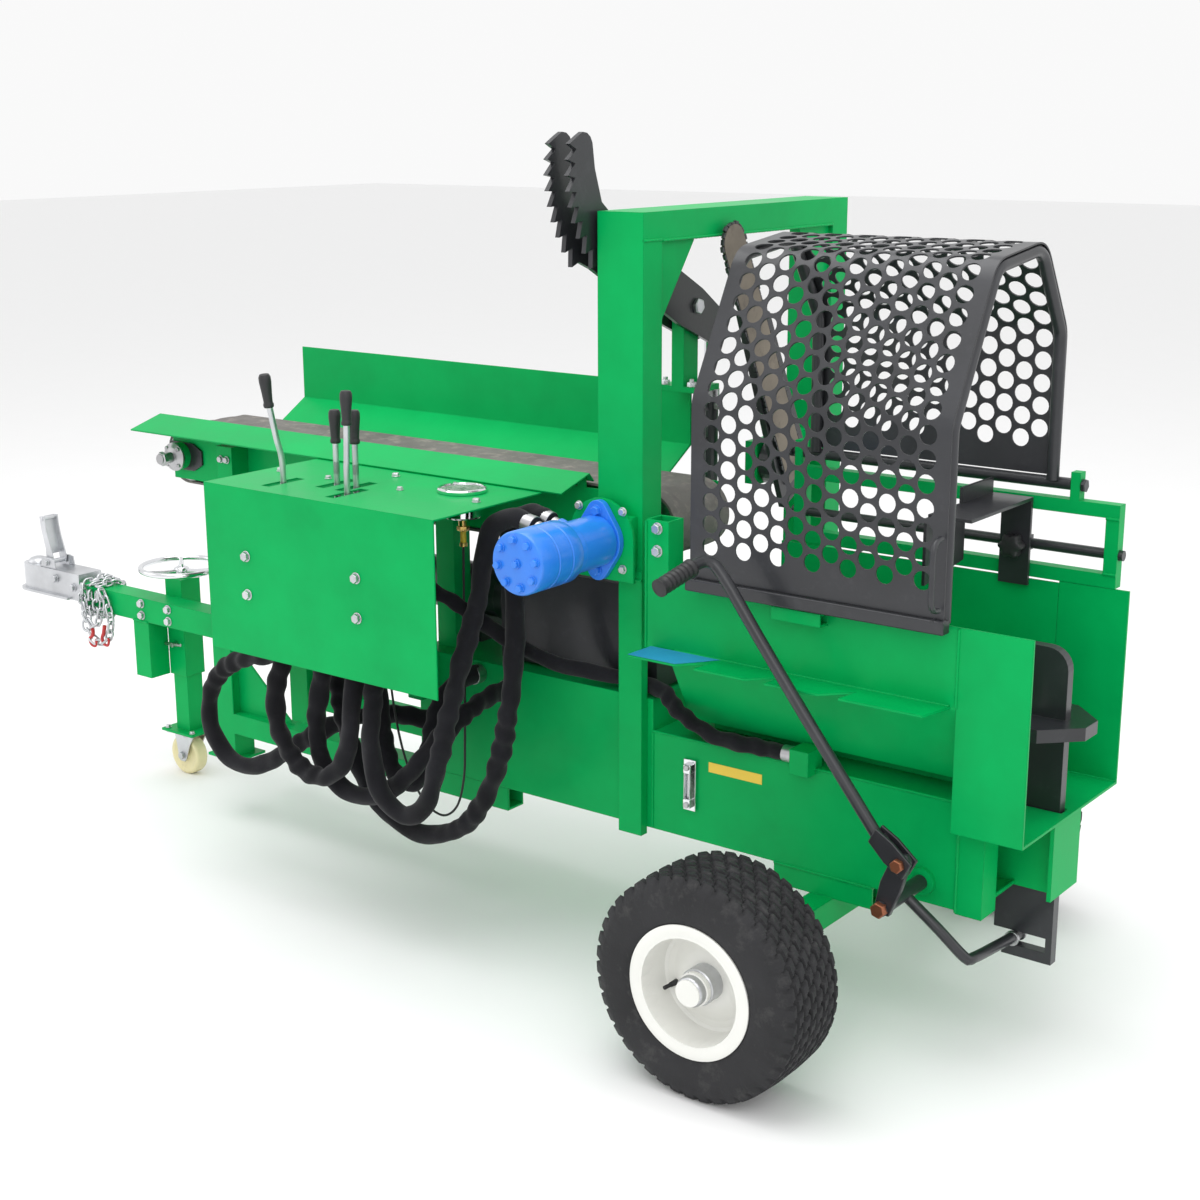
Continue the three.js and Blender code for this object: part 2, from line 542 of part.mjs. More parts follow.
// ---------- far frame with the log stop ----------
function farFrame() {
  const { y0, y1, x0, x1, low, high, tube } = FRAME;
  const rails = [low, high - tube].map((z) => block(x0, x1, y0, y1, z, z + tube));
  const posts = [x0, x1 - tube].map((x) => block(x, x + tube, y0, y1, low, high));
  const ears = [-290, 291].map((x) => block(x, x + 18, y0, y1 - 2, high - 1, HINGE.z + 24));
  const pivots = bar([-300, HINGE.y, HINGE.z], [330, HINGE.y, HINGE.z], 8.5, 16);
  const rodHoles = bar([x0 - 1, 210, 865], [x1 + 1, 210, 865], 10, 16);
  piece("far_frame", cut(join(...rails, ...posts, ...ears), pivots, rodHoles), GREEN);
  piece("stop_rod", bar([x0 - 8, 210, 865], [x1 + 8, 210, 865], 9.7, 16), BLACK);

  const strap = block(165, 224, 184, 191, 790, 956);
  const arm = block(140, 224, -60, 191, 950, 956);
  const face = slab("yz", [[-75, 830], [75, 850], [75, 951], [-75, 951]], 140, 146);
  const fin = block(140, 146, 60, 186, 955, 985);
  const sleeve = block(175, 214, 190, 224, 851, 879);
  const hole = bar([170, 210, 865], [220, 210, 865], 10.3, 16);
  const tap = bar([195, 183, 865], [195, 200.5, 865], 5.5, 16);
  const stopBody = cut(join(strap, arm, face, fin, sleeve), hole, tap);
  piece("log_stop", stopBody, BLACK);
  const head = [];
  for (let i = 0; i < 36; i++) {
    const turn = (i / 36) * 2 * Math.PI;
    const r = 21 + 3 * Math.cos(6 * turn);
    head.push([195 + r * Math.cos(turn), 865 + r * Math.sin(turn)]);
  }
  const knob = join(slab("xz", head, 158, 183.5), bar([195, 180, 865], [195, 199.5, 865], 5, 16));
  piece("stop_knob", knob, PLASTIC);
}

// ---------- guard ----------
function guard() {
  const { x0, x1, sheet, tube } = GUARD;
  const arch = (start, end) => softened([[-226, start], [-226, 1145], [-88, 1402],
    [100, 1425], [HINGE.y, 1262], [HINGE.y, end]], 60);
  const line = arch(819.3, HINGE.z + tube + 2);
  const skin = slab("yz", folded(line, sheet), x0 + tube * 2 + 1, x1 - tube * 2 - 1);
  piece("guard_sheet", skin, BLACK);
  const hoops = [x0 + tube, x1 - tube].map((x) => {
    const outer = folded(arch(812, HINGE.z), tube * 1.6);
    return slab("yz", outer, x - tube * 0.9, x + tube * 0.9);
  });
  const lowRail = block(x0, x1, -240, -215, 795, 819);
  const highRail = bar([x0 - 17, HINGE.y, HINGE.z], [x1 + 22, HINGE.y, HINGE.z], tube, 16);
  const ends = bar([-296, HINGE.y, HINGE.z], [313, HINGE.y, HINGE.z], 8.2, 16);
  const grip = sweep([[x1 - 10, -235, 840], [x1 - 10, -262, 848], [x1 - 10, -268, 870],
    [x1 - 10, -268, 930], [x1 - 10, -262, 952], [x1 - 10, -235, 960]], 5, 8, 20);
  piece("guard_frame", join(...hoops, lowRail, highRail, ends, grip), BLACK);
}

// ---------- tow hitch and jack ----------
function hitch() {
  const { x0, x1, y, half, z0, z1 } = TONGUE;
  const beam = block(x0, x1 - GAP, y - half, y + half, z0, z1);
  const stub = block(-2040, JACK.x - JACK.outer / 2 - GAP, y - half, y + half - 1, z0 - 145, z0 + 1);
  piece("tongue", join(beam, stub), GREEN);

  const nose = [[x0 - GAP, y - 36], [x0 - GAP, y + 36], [-2447, y + 36],
    ...arc(-2454, y, 36, 90, 270, 10), [-2447, y - 36]];
  const shell = slab("xy", nose, 430, 500);
  const pocket = slab("xy", [[x0 - 12, y - 30], [x0 - 12, y + 30], [-2447, y + 30],
    ...arc(-2454, y, 30, 90, 270, 10), [-2447, y - 30]], 429, 494);
  const skirt = slab("xy", [[x0 - 40, y - 46], [x0 - 40, y + 46], [-2447, y + 46],
    ...arc(-2454, y, 46, 90, 270, 10), [-2447, y - 46]], 430, 436);
  const ears = [-30, 24].map((d) => block(-2390, -2354, y + d, y + d + 6, 499, 526));
  const shaft = bar([-2372, y - 40, 514], [-2372, y + 40, 514], 6.5, 16);
  piece("coupler", cut(join(cut(join(shell, skirt), pocket), ...ears), shaft), STEEL);

  const pivot = bar([-2372, y - 31, 514], [-2372, y + 31, 514], 6, 16);
  const handle = slab("xz", [[-2384, 504], [-2364, 506], [-2360, 530], [-2378, 580],
    [-2384, 632], [-2404, 630], [-2394, 575], [-2386, 530]], y - 22, y + 22);
  piece("coupler_latch", join(pivot, handle), STEEL);
}

function safetyChain() {
  const { y, z0, z1 } = TONGUE;
  const frame = (r) => [[y - r, z0 + 30 - r], [y + r, z0 + 30 - r], [y + r, z0 + 30 + r],
    [y - r, z0 + 30 + r]];
  const wrap = slab("yz", frame(50), -2225, -2150, frame(31));
  const near = y - 44;
  const loop = sweep([[-2200, near, z0 - 14], [-2190, near - 2, z0 - 60], [-2150, near - 2, z0 - 85],
    [-2112, near - 2, z0 - 60], [-2120, near - 1, z0], [-2155, near + 2, z0 + 10]], 9, 8, 24);
  piece("safety_chain", join(wrap, loop), STEEL);
}

function jack() {
  const { x, y, outer, inner, z0, z1 } = JACK;
  const half = outer / 2;
  const tube = block(x - half, x + half, y - half, y + half, z0, z1);
  const hollow = block(x - 25, x + 25, y - 25, y + 25, z0 - 1, z1 - 8);
  const mouth = bar([x, y, z1 - 12], [x, y, z1 + 1], 11, 20);
  piece("jack_tube", cut(tube, hollow, mouth), GREEN);

  const leg = block(x - inner / 2, x + inner / 2, y - inner / 2, y + inner / 2, 120, 330);
  const well = bar([x, y, 200], [x, y, 331], 13, 20);
  const base = block(x - 57, x + 57, y - 48, y + 48, 118, 124);
  piece("jack_leg", cut(join(leg, base), well), GREEN);

  const rim = new THREE.TorusGeometry(100, 7, 8, 28).translate(x, y, z1 + 25);
  const arms = [0, 120, 240].map((turn) => {
    const [px, py] = arc(x, y, 98, turn + 20, turn + 20, 1)[0];
    return bar([x, y, z1 + 18], [px, py, z1 + 25], 6, 8);
  });
  const hub = bar([x, y, z1 + GAP], [x, y, z1 + 28], 18, 20);
  const screw = bar([x, y, 215], [x, y, z1 + 10], 10, 20);
  const crank = bar([x + 72, y + 69, z1 + 22], [x + 72, y + 69, z1 + 125], 8, 12);
  piece("jack_handwheel", join(solid(rim), ...arms, hub, screw, crank), STEEL);
}

function caster() {
  const { x, radius, width } = CASTER;
  const y = JACK.y;
  const top = 117.7;
  const head = block(JACK.x - 40, JACK.x + 40, y - 34, y + 34, top - 6, top);
  const cheeks = [-1, 1].map((side) => {
    const at = y + side * (width / 2 + 5);
    return slab("xz", [[x - 14, radius - 12], [x + 14, radius - 12], [x + 44, top - 4],
      [x - 26, top - 4]], at - 2.5, at + 2.5);
  });
  const axleEnds = bar([x, y - 27, radius], [x, y + 27, radius], 7, 16);
  const brake = block(x - 62, x - 22, y - 20, y + 20, top - 10, top - 3);
  piece("caster_fork", join(head, ...cheeks, axleEnds, brake), STEEL);
  const tread = [[7.5, -width / 2], [40, -width / 2], [radius - 3, 4 - width / 2],
    [radius, -width / 4], [radius, width / 4], [radius - 3, width / 2 - 4], [40, width / 2],
    [7.5, width / 2]];
  piece("caster_wheel", turned(tread, 36), NYLON, [x, y, radius]);
}

// ---------- hydraulic hoses in fabric sleeves ----------
const HOSES = {
  hose_cylinder_base: [[-1150, -340, 679.7], [-1151, -340, 630], [-1180, -338, 565],
    [-1250, -335, 522], [-1345, -332, 497], [-1425, -330, 452], [-1470, -330, 383],
    [-1468, -330, 308], [-1418, -330, 254], [-1340, -330, 248], [-1255, -326, 290],
    [-1175, -315, 345], [-1090, -285, 392], [-1010, -240, 410], [-935, -196, 402],
    [-890, -150.3, 395]],
  hose_cylinder_rod: [[-1020, -400, 679.7], [-1022, -400, 620], [-1042, -400, 520],
    [-1062, -400, 420], [-1046, -400, 340], [-985, -398, 292], [-895, -396, 300],
    [-815, -388, 362], [-760, -352, 440], [-738, -290, 484], [-738, -220, 497],
    [-742, -150.3, 498]],
  hose_motor_feed: [[-1085, -330, 679.7], [-1083, -330, 600], [-1065, -330, 480],
    [-1032, -330, 360], [-970, -330, 262], [-885, -330, 214], [-795, -330, 218],
    [-705, -330, 272], [-640, -330, 380], [-612, -322, 500], [-612, -300, 610],
    [-632, -270, 720], [-662, -250, 800], [-658, -242, 866], [-612, -240, 894],
    [PORTS.x, PORTS.y[0], PORTS.z]],
  hose_motor_return: [[-880, -400, 679.7], [-880, -402, 620], [-878, -418, 520],
    [-872, -436, 420], [-845, -440, 332], [-783, -440, 296], [-728, -438, 330],
    [-700, -428, 420], [-692, -400, 520], [-690, -360, 620], [-684, -322, 720],
    [-684, -300, 800], [-668, -292, 866], [-616, -290, 893],
    [PORTS.x, PORTS.y[1], PORTS.z]],
  hose_tank_return: [[-844.7, -340, 740], [-800, -338, 738], [-740, -310, 704],
    [-670, -258, 640], [-600, -198, 588], [-535, -152, 568], [-470, -131, 562],
    [-425, -131, 560], [-370, -138, 553], [-315, -163, 530], [-250, -166, 503],
    [-195, -162, 494], [-130, -154, 493], [-61, -153, 493]],
};

// Each hose is trimmed square by what it is screwed to.
function hoses() {
  const beam = block(BEAM.x0, BEAM.x1, -BEAM.half - GAP, 0, BEAM.z0, BEAM.z1 + GAP);
  const { x0, x1, y0, y1, z0, z1 } = VALVE;
  const valve = block(x0 - GAP, x1 + GAP, y0 - GAP, y1 + GAP, z0 - GAP, z1);
  const ports = PORTS.y.map((y) => bar([BELT.x1, y, BELT.z], [PORTS.x - 1, y, PORTS.z + 0.4], 24));
  for (const [name, route] of Object.entries(HOSES)) {
    const curve = new THREE.CatmullRomCurve3(route.map((p) => new THREE.Vector3(...p)));
    const steps = Math.round(curve.getLength() / HOSE.step);
    const radius = name === "hose_tank_return" ? HOSE.slim : HOSE.radius;
    const tube = sweep(route, radius, HOSE.sides, steps);
    piece(name, cut(tube, beam, valve, ...ports), SLEEVE);
  }
}

mainBeam();
oilTank();
levelGauge();
axle();
wheel("near", -1);
wheel("far", 1);
frontFrame();
trough();
leverGate();
outlet();
wedgeGuide();
wedge();
wedgeLever();
ram();
portal();
saw();
clampArm();
clampCylinder();
conveyor();
infeed();
feedMotor();
controls();
farFrame();
guard();
hitch();
safetyChain();
jack();
caster();
hoses();

const box = new THREE.Box3().setFromObject(machine);
machine.position.set(-(box.min.x + box.max.x) / 2, -(box.min.y + box.max.y) / 2, -box.min.z);

const root = new THREE.Group();
root.add(machine);
export default root;
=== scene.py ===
"""Looks for a towed firewood processor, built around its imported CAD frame.

Lengths are millimetres from the axle (x), the trough's centre plane (y) and the ground (z), as in the
CAD source. at() turns them into the frame's metres.
"""
import json
import math
import random

import bpy
import numpy as np
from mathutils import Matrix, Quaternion, Vector, geometry


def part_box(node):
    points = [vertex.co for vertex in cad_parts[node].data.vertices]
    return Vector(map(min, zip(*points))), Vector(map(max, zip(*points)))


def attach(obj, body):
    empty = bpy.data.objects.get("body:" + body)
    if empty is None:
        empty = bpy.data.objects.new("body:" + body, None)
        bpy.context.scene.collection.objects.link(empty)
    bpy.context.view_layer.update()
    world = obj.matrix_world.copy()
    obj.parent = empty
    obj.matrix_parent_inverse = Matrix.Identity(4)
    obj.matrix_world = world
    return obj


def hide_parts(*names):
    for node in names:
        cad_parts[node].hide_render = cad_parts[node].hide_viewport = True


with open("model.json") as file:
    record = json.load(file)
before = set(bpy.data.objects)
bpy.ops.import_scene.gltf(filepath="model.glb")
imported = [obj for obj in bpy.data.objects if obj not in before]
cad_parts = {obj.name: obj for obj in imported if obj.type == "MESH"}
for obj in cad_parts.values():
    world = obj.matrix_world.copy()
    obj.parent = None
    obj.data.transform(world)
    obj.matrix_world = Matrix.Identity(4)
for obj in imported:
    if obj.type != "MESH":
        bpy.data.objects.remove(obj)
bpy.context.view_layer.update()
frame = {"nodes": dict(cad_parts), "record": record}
NODES = frame["nodes"]
SLOT_OF = {row["node"]: row["material_slot"] for row in frame["record"]["subparts"]}
LOW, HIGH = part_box("tyre_near")
AXLE = (LOW + HIGH) / 2
WHEEL_R = HIGH.z / 2 * 1000
NEAR, FAR, UP = (0, -1, 0), (0, 1, 0), (0, 0, 1)


def at(x, y, z):
    """The frame's metres for a place in the CAD source's millimetres."""
    return Vector((AXLE.x + x / 1000, y / 1000, z / 1000))


# ---------- camera ----------
def make_camera():
    """A short telephoto lens on the near side, past the outlet, with a slight roll."""
    data = bpy.data.cameras.new("camera")
    data.lens = 56.15
    data.sensor_width = 36
    data.shift_x = 0.0044
    data.shift_y = -0.0015
    camera = bpy.data.objects.new("camera", data)
    bpy.context.scene.collection.objects.link(camera)
    forward = Vector((-0.5872, 0.7692, -0.2521))
    turn = forward.to_track_quat("-Z", "Y")
    roll = Quaternion(forward, 0.0038)
    camera.rotation_mode = "QUATERNION"
    camera.rotation_quaternion = roll @ turn
    camera.location = at(1626, -2972, 1644)
    bpy.context.scene.camera = camera


make_camera()


# ---------- node materials ----------
def linked(tree, kind, **values):
    """A shader node. A value sets the node's own attribute, or else its input of that name."""
    node = tree.nodes.new("ShaderNode" + kind)
    for key, value in values.items():
        if hasattr(node, key):
            setattr(node, key, value)
        else:
            node.inputs[key.replace("_", " ")].default_value = value
    return node


def finish(name, colour, roughness, metallic=0.0, coat=0.0, grain=120.0, bump=0.05, spread=0.08,
           wear=0.0, worn=(0.3, 0.3, 0.3), rough_spread=0.12, edge=0.0, sheen=0.0,
           specular=0.5, distance=0.002):
    """A surface with uneven colour and gloss, fine grain, soft edges and worn or dusty patches."""
    made = bpy.data.materials.new(name)
    made.use_nodes = True
    tree = made.node_tree
    link = tree.links.new
    shader = tree.nodes["Principled BSDF"]
    shader.inputs["Metallic"].default_value = metallic
    shader.inputs["Coat Weight"].default_value = coat
    shader.inputs["Coat Roughness"].default_value = 0.12
    shader.inputs["Sheen Weight"].default_value = sheen
    shader.inputs["Specular IOR Level"].default_value = specular
    place = linked(tree, "TexCoord")
    broad = linked(tree, "TexNoise", Scale=6.0, Detail=5.0, Roughness=0.6)
    fine = linked(tree, "TexNoise", Scale=grain, Detail=3.0, Roughness=0.55)
    link(place.outputs["Object"], broad.inputs["Vector"])
    link(place.outputs["Object"], fine.inputs["Vector"])
    ramp = linked(tree, "ValToRGB")
    dark = [max(0.0, c * (1 - spread)) for c in colour]
    light = [min(1.0, c * (1 + spread)) for c in colour]
    ramp.color_ramp.elements[0].position = 0.3
    ramp.color_ramp.elements[0].color = (*dark, 1)
    ramp.color_ramp.elements[1].position = 0.7
    ramp.color_ramp.elements[1].color = (*light, 1)
    link(broad.outputs["Fac"], ramp.inputs["Fac"])
    shade = ramp.outputs["Color"]
    if wear:
        patch = linked(tree, "TexNoise", Scale=28.0, Detail=8.0, Roughness=0.7)
        link(place.outputs["Object"], patch.inputs["Vector"])
        mask = linked(tree, "ValToRGB")
        mask.color_ramp.elements[0].position = 0.58 - wear * 0.12
        mask.color_ramp.elements[1].position = 0.69 - wear * 0.05
        mask.color_ramp.elements[0].color = (0, 0, 0, 1)
        mask.color_ramp.elements[1].color = (wear, wear, wear, 1)
        link(patch.outputs["Fac"], mask.inputs["Fac"])
        mix = linked(tree, "Mix", data_type="RGBA")
        link(mask.outputs["Color"], mix.inputs["Factor"])
        link(shade, mix.inputs[6])
        mix.inputs[7].default_value = (*worn, 1)
        shade = mix.outputs[2]
    link(shade, shader.inputs["Base Color"])
    gloss = linked(tree, "MapRange")
    gloss.inputs["To Min"].default_value = max(0.02, roughness - rough_spread)
    gloss.inputs["To Max"].default_value = min(1.0, roughness + rough_spread)
    link(broad.outputs["Fac"], gloss.inputs["Value"])
    link(gloss.outputs["Result"], shader.inputs["Roughness"])
    rough = linked(tree, "Bump", Strength=bump, Distance=distance)
    link(fine.outputs["Fac"], rough.inputs["Height"])
    if edge:
        soft = linked(tree, "Bevel", samples=3, Radius=edge)
        link(soft.outputs["Normal"], rough.inputs["Normal"])
    link(rough.outputs["Normal"], shader.inputs["Normal"])
    return made


GREEN = finish("green_paint", (0.0, 0.37, 0.088), 0.4, coat=0.03, grain=90, bump=0.07,
               spread=0.1, edge=0.0025, specular=0.1)
BLUE_GATE = finish("blue_paint_flat", (0.03, 0.3, 0.6), 0.4, coat=0.2, edge=0.001)
BLACK = finish("black_paint", (0.021, 0.022, 0.026), 0.36, coat=0.15, grain=160, bump=0.09,
               spread=0.25, edge=0.0015, wear=0.12, worn=(0.09, 0.09, 0.1))
BLUE = finish("blue_paint", (0.02, 0.2, 0.76), 0.3, coat=0.35, grain=110, bump=0.07, spread=0.1,
              wear=0.1, worn=(0.3, 0.45, 0.8))
WHITE = finish("white_paint", (0.78, 0.78, 0.74), 0.38, coat=0.2, grain=140, bump=0.03, spread=0.03)
ZINC = finish("zinc", (0.6, 0.61, 0.63), 0.36, metallic=1.0, grain=60, bump=0.12, spread=0.22,
              rough_spread=0.18)
STEEL = finish("steel", (0.46, 0.46, 0.47), 0.34, metallic=1.0, grain=220, bump=0.06, spread=0.15)
BAR_STEEL = finish("bar_steel", (0.2, 0.175, 0.14), 0.45, metallic=0.85, grain=180, bump=0.1,
                   spread=0.3, wear=0.4, worn=(0.05, 0.045, 0.04))
CHROME = finish("chrome", (0.76, 0.77, 0.79), 0.12, metallic=1.0, grain=200, bump=0.02, spread=0.05,
                rough_spread=0.05)
RUBBER = finish("tyre_rubber", (0.022, 0.022, 0.024), 0.7, grain=260, bump=0.25, spread=0.35,
                wear=0.35, worn=(0.075, 0.074, 0.072), specular=0.3)
BELT = finish("belt_rubber", (0.17, 0.16, 0.152), 0.82, grain=420, bump=0.35, spread=0.3,
              wear=0.5, worn=(0.36, 0.32, 0.28), specular=0.2)
PLASTIC = finish("black_plastic", (0.018, 0.018, 0.02), 0.5, grain=500, bump=0.12, spread=0.2)
NYLON = finish("nylon", (0.8, 0.72, 0.42), 0.42, grain=120, bump=0.05, spread=0.08, wear=0.25,
               worn=(0.42, 0.36, 0.24))
COPPER = finish("coated_pin", (0.32, 0.12, 0.065), 0.42, metallic=0.9, grain=160, bump=0.08,
                spread=0.25)
BRASS = finish("brass", (0.72, 0.5, 0.16), 0.26, metallic=1.0, grain=140, bump=0.05, spread=0.1)
YELLOW = finish("yellow_label", (0.86, 0.6, 0.06), 0.5, grain=200, bump=0.02, spread=0.04)
RED = finish("red_enamel", (0.5, 0.012, 0.012), 0.35, coat=0.3, grain=120, bump=0.06, spread=0.12)
DIAL = finish("dial_card", (0.85, 0.85, 0.82), 0.6, grain=60, bump=0.01, spread=0.02)
SLEEVE = finish("sleeve_fabric", (0.0095, 0.0095, 0.012), 0.93, grain=900, bump=0.5, spread=0.5,
                sheen=0.12, specular=0.15, distance=0.001, wear=0.25,
                worn=(0.028, 0.028, 0.031))


def glass():
    """Clear, with faint smudges in its gloss."""
    made = bpy.data.materials.new("glass")
    made.use_nodes = True
    tree = made.node_tree
    shader = tree.nodes["Principled BSDF"]
    shader.inputs["Transmission Weight"].default_value = 0.9
    shader.inputs["IOR"].default_value = 1.45
    smudge = linked(tree, "TexNoise", Scale=40.0)
    tone = linked(tree, "MapRange")
    tone.inputs["To Min"].default_value = 0.02
    tone.inputs["To Max"].default_value = 0.09
    tree.links.new(smudge.outputs["Fac"], tone.inputs["Value"])
    tree.links.new(tone.outputs["Result"], shader.inputs["Roughness"])
    return made


GLASS = glass()
BY_SLOT = {"green_paint": GREEN, "black_paint": BLACK, "blue_paint": BLUE, "white_paint": WHITE,
           "zinc": ZINC, "chrome": CHROME, "tyre_rubber": RUBBER, "belt_rubber": BELT,
           "black_plastic": PLASTIC, "nylon": NYLON, "sleeve_fabric": SLEEVE}
SLOT_FOR = {look: slot for slot, look in BY_SLOT.items()}
SLOT_FOR.update({STEEL: "zinc", BRASS: "zinc", GLASS: "zinc", COPPER: "black_paint",
                 YELLOW: "green_paint", BLUE_GATE: "green_paint"})


# ---------- shapes: (points, faces) in millimetres ----------
def box(x0, x1, y0, y1, z0, z1):
    points = [(x, y, z) for x in (x0, x1) for y in (y0, y1) for z in (z0, z1)]
    faces = [(0, 1, 3, 2), (4, 6, 7, 5), (0, 4, 5, 1), (2, 3, 7, 6), (0, 2, 6, 4), (1, 5, 7, 3)]
    return points, faces


def grid_faces(rings, sides, loop=False):
    """Quads between rings of points. The last ring joins the first, or both ends are capped."""
    faces = []
    for i in range(rings if loop else rings - 1):
        k = (i + 1) % rings
        for j in range(sides):
            m = (j + 1) % sides
            faces.append((i * sides + j, i * sides + m, k * sides + m, k * sides + j))
    if not loop:
        faces.append(tuple(reversed(range(sides))))
        faces.append(tuple(range((rings - 1) * sides, rings * sides)))
    return faces


def smooth_path(points, spacing=8.0):
    """Points about that far apart on a Catmull-Rom curve through the given ones."""
    known = [Vector(p) for p in points]
    known = [known[0] * 2 - known[1], *known, known[-1] * 2 - known[-2]]
    out = []
    for a, b, c, d in zip(known, known[1:], known[2:], known[3:]):
        steps = max(2, round((c - b).length / spacing))
        for i in range(steps):
            t = i / steps
            out.append(0.5 * (2 * b + (c - a) * t + (2 * a - 5 * b + 4 * c - d) * t * t
                              + (3 * b - a - 3 * c + d) * t ** 3))
    out.append(known[-2])
    return out


def tube(points, radius, sides=14):
    """A round bar along points. radius is a number, or a function of ring and angle."""
    line = [Vector(p) for p in points]
    size = radius if callable(radius) else lambda i, angle: radius
    tangent = (line[1] - line[0]).normalized()
    side = tangent.orthogonal().normalized()
    out = []
    for i, p in enumerate(line):
        ahead = line[min(i + 1, len(line) - 1)] - line[max(i - 1, 0)]
        new = ahead.normalized()
        side = (tangent.rotation_difference(new) @ side).normalized()
        tangent = new
        other = tangent.cross(side)
        for j in range(sides):
            angle = 2 * math.pi * j / sides
            out.append(p + (side * math.cos(angle) + other * math.sin(angle)) * size(i, angle))
    return out, grid_faces(len(line), sides)


def rod(a, b, radius, sides=20, end=None):
    """A straight bar, tapered where end gives a radius of its own."""
    end = radius if end is None else end
    return tube([a, b], lambda i, angle: end if i else radius, sides)


def prism(plane, outline, a, b):
    """An outline in a plane, drawn out from a to b across it."""
    place = {"xy": lambda u, v, w: (u, v, w), "xz": lambda u, v, w: (u, w, v)}[plane]
    points = [place(u, v, w) for w in (a, b) for u, v in outline]
    return points, grid_faces(2, len(outline))


def lathe(profile, centre, axis, sides=40, closed=False, turn=0.0):
    """A shape turned from (radius, along) points about an axis through centre."""
    way = Vector(axis).normalized()
    side = way.orthogonal().normalized()
    other = way.cross(side)
    points = []
    for r, t in profile:
        for j in range(sides):
            angle = 2 * math.pi * j / sides + turn
            spoke = side * math.cos(angle) + other * math.sin(angle)
            points.append(Vector(centre) + way * t + spoke * max(r, 0.01))
    return points, grid_faces(len(profile), sides, closed)


def arc(cx, cy, radius, start, stop, steps):
    """Points on a circle from one angle to another, in degrees."""
    turns = [math.radians(start + (stop - start) * i / steps) for i in range(steps + 1)]
    return [(cx + radius * math.cos(t), cy + radius * math.sin(t)) for t in turns]


def spot_on(cx, cy, radius, turn):
    """The one point of a circle at an angle in degrees."""
    return arc(cx, cy, radius, turn, turn, 1)[0]


def hexagon(foot, way, across, height, turn=0.0):
    """A bolt head or nut standing on foot."""
    size = across / math.sqrt(3)
    profile = [(size, 0), (size, height * 0.8), (size * 0.88, height)]
    return lathe(profile, foot, way, 6, turn=math.radians(turn))


def bolt(foot, way, across):
    """A hexagon head on its washer."""
    washer = 2.2
    top = Vector(foot) + Vector(way).normalized() * washer
    return [rod(foot, top, across * 0.68, 24),
            hexagon(top, way, across, across * 0.45, turn=13 * (1 + across))]


def bolt_rows(rows):
    """Bolts at every x, y and z of each row (xs, ys, zs, way, across)."""
    return [shape for xs, ys, zs, way, across in rows
            for x in xs for y in ys for z in zs for shape in bolt((x, y, z), way, across)]


def bead(points, radius, seed):
    """A run of weld along points, with the ripple of its passes."""
    dense = smooth_path(points, 3.0)
    chance = random.Random(seed)
    ripple = [radius * (0.85 + 0.2 * abs(math.sin(i * 0.9)) + chance.uniform(-0.08, 0.08))
              for i in range(len(dense))]
    return tube(dense, lambda i, angle: ripple[i], 8)


# ---------- pieces ----------
def piece(name, shapes, material, body="chassis", slot=None, replaces=None, bevel=0.0, segments=2,
          angle=35):
    """One object from shapes, each a shape or a shape with a material of its own.

    It looks up the slot of the CAD node it replaces, or the one nearest its material, but keeps none.
    """
    points, faces, looks, kinds = [], [], [], [material]
    for entry in shapes:
        shape, look = entry if isinstance(entry[1], bpy.types.Material) else (entry, material)
        if look not in kinds:
            kinds.append(look)
        start = len(points)
        points.extend(at(*p) for p in shape[0])
        faces.extend(tuple(start + i for i in face) for face in shape[1])
        looks.extend([kinds.index(look)] * len(shape[1]))
    mesh = bpy.data.meshes.new(name)
    mesh.from_pydata(points, [], faces)
    for kind in kinds:
        mesh.materials.append(kind)
    mesh.polygons.foreach_set("material_index", looks)
    mesh.validate()
    mesh.shade_smooth()
    mesh.set_sharp_from_angle(angle=math.radians(angle))
    made = bpy.data.objects.new(name, mesh)
    bpy.context.scene.collection.objects.link(made)
    if bevel:
        rounded = made.modifiers.new("bevel", "BEVEL")
        rounded.width = bevel / 1000
        rounded.segments = segments
        rounded.limit_method = "ANGLE"
        rounded.angle_limit = math.radians(40)
    if replaces:
        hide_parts(replaces)
        slot = SLOT_OF[replaces]
    slot or SLOT_FOR[material]
    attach(made, body)
    return made


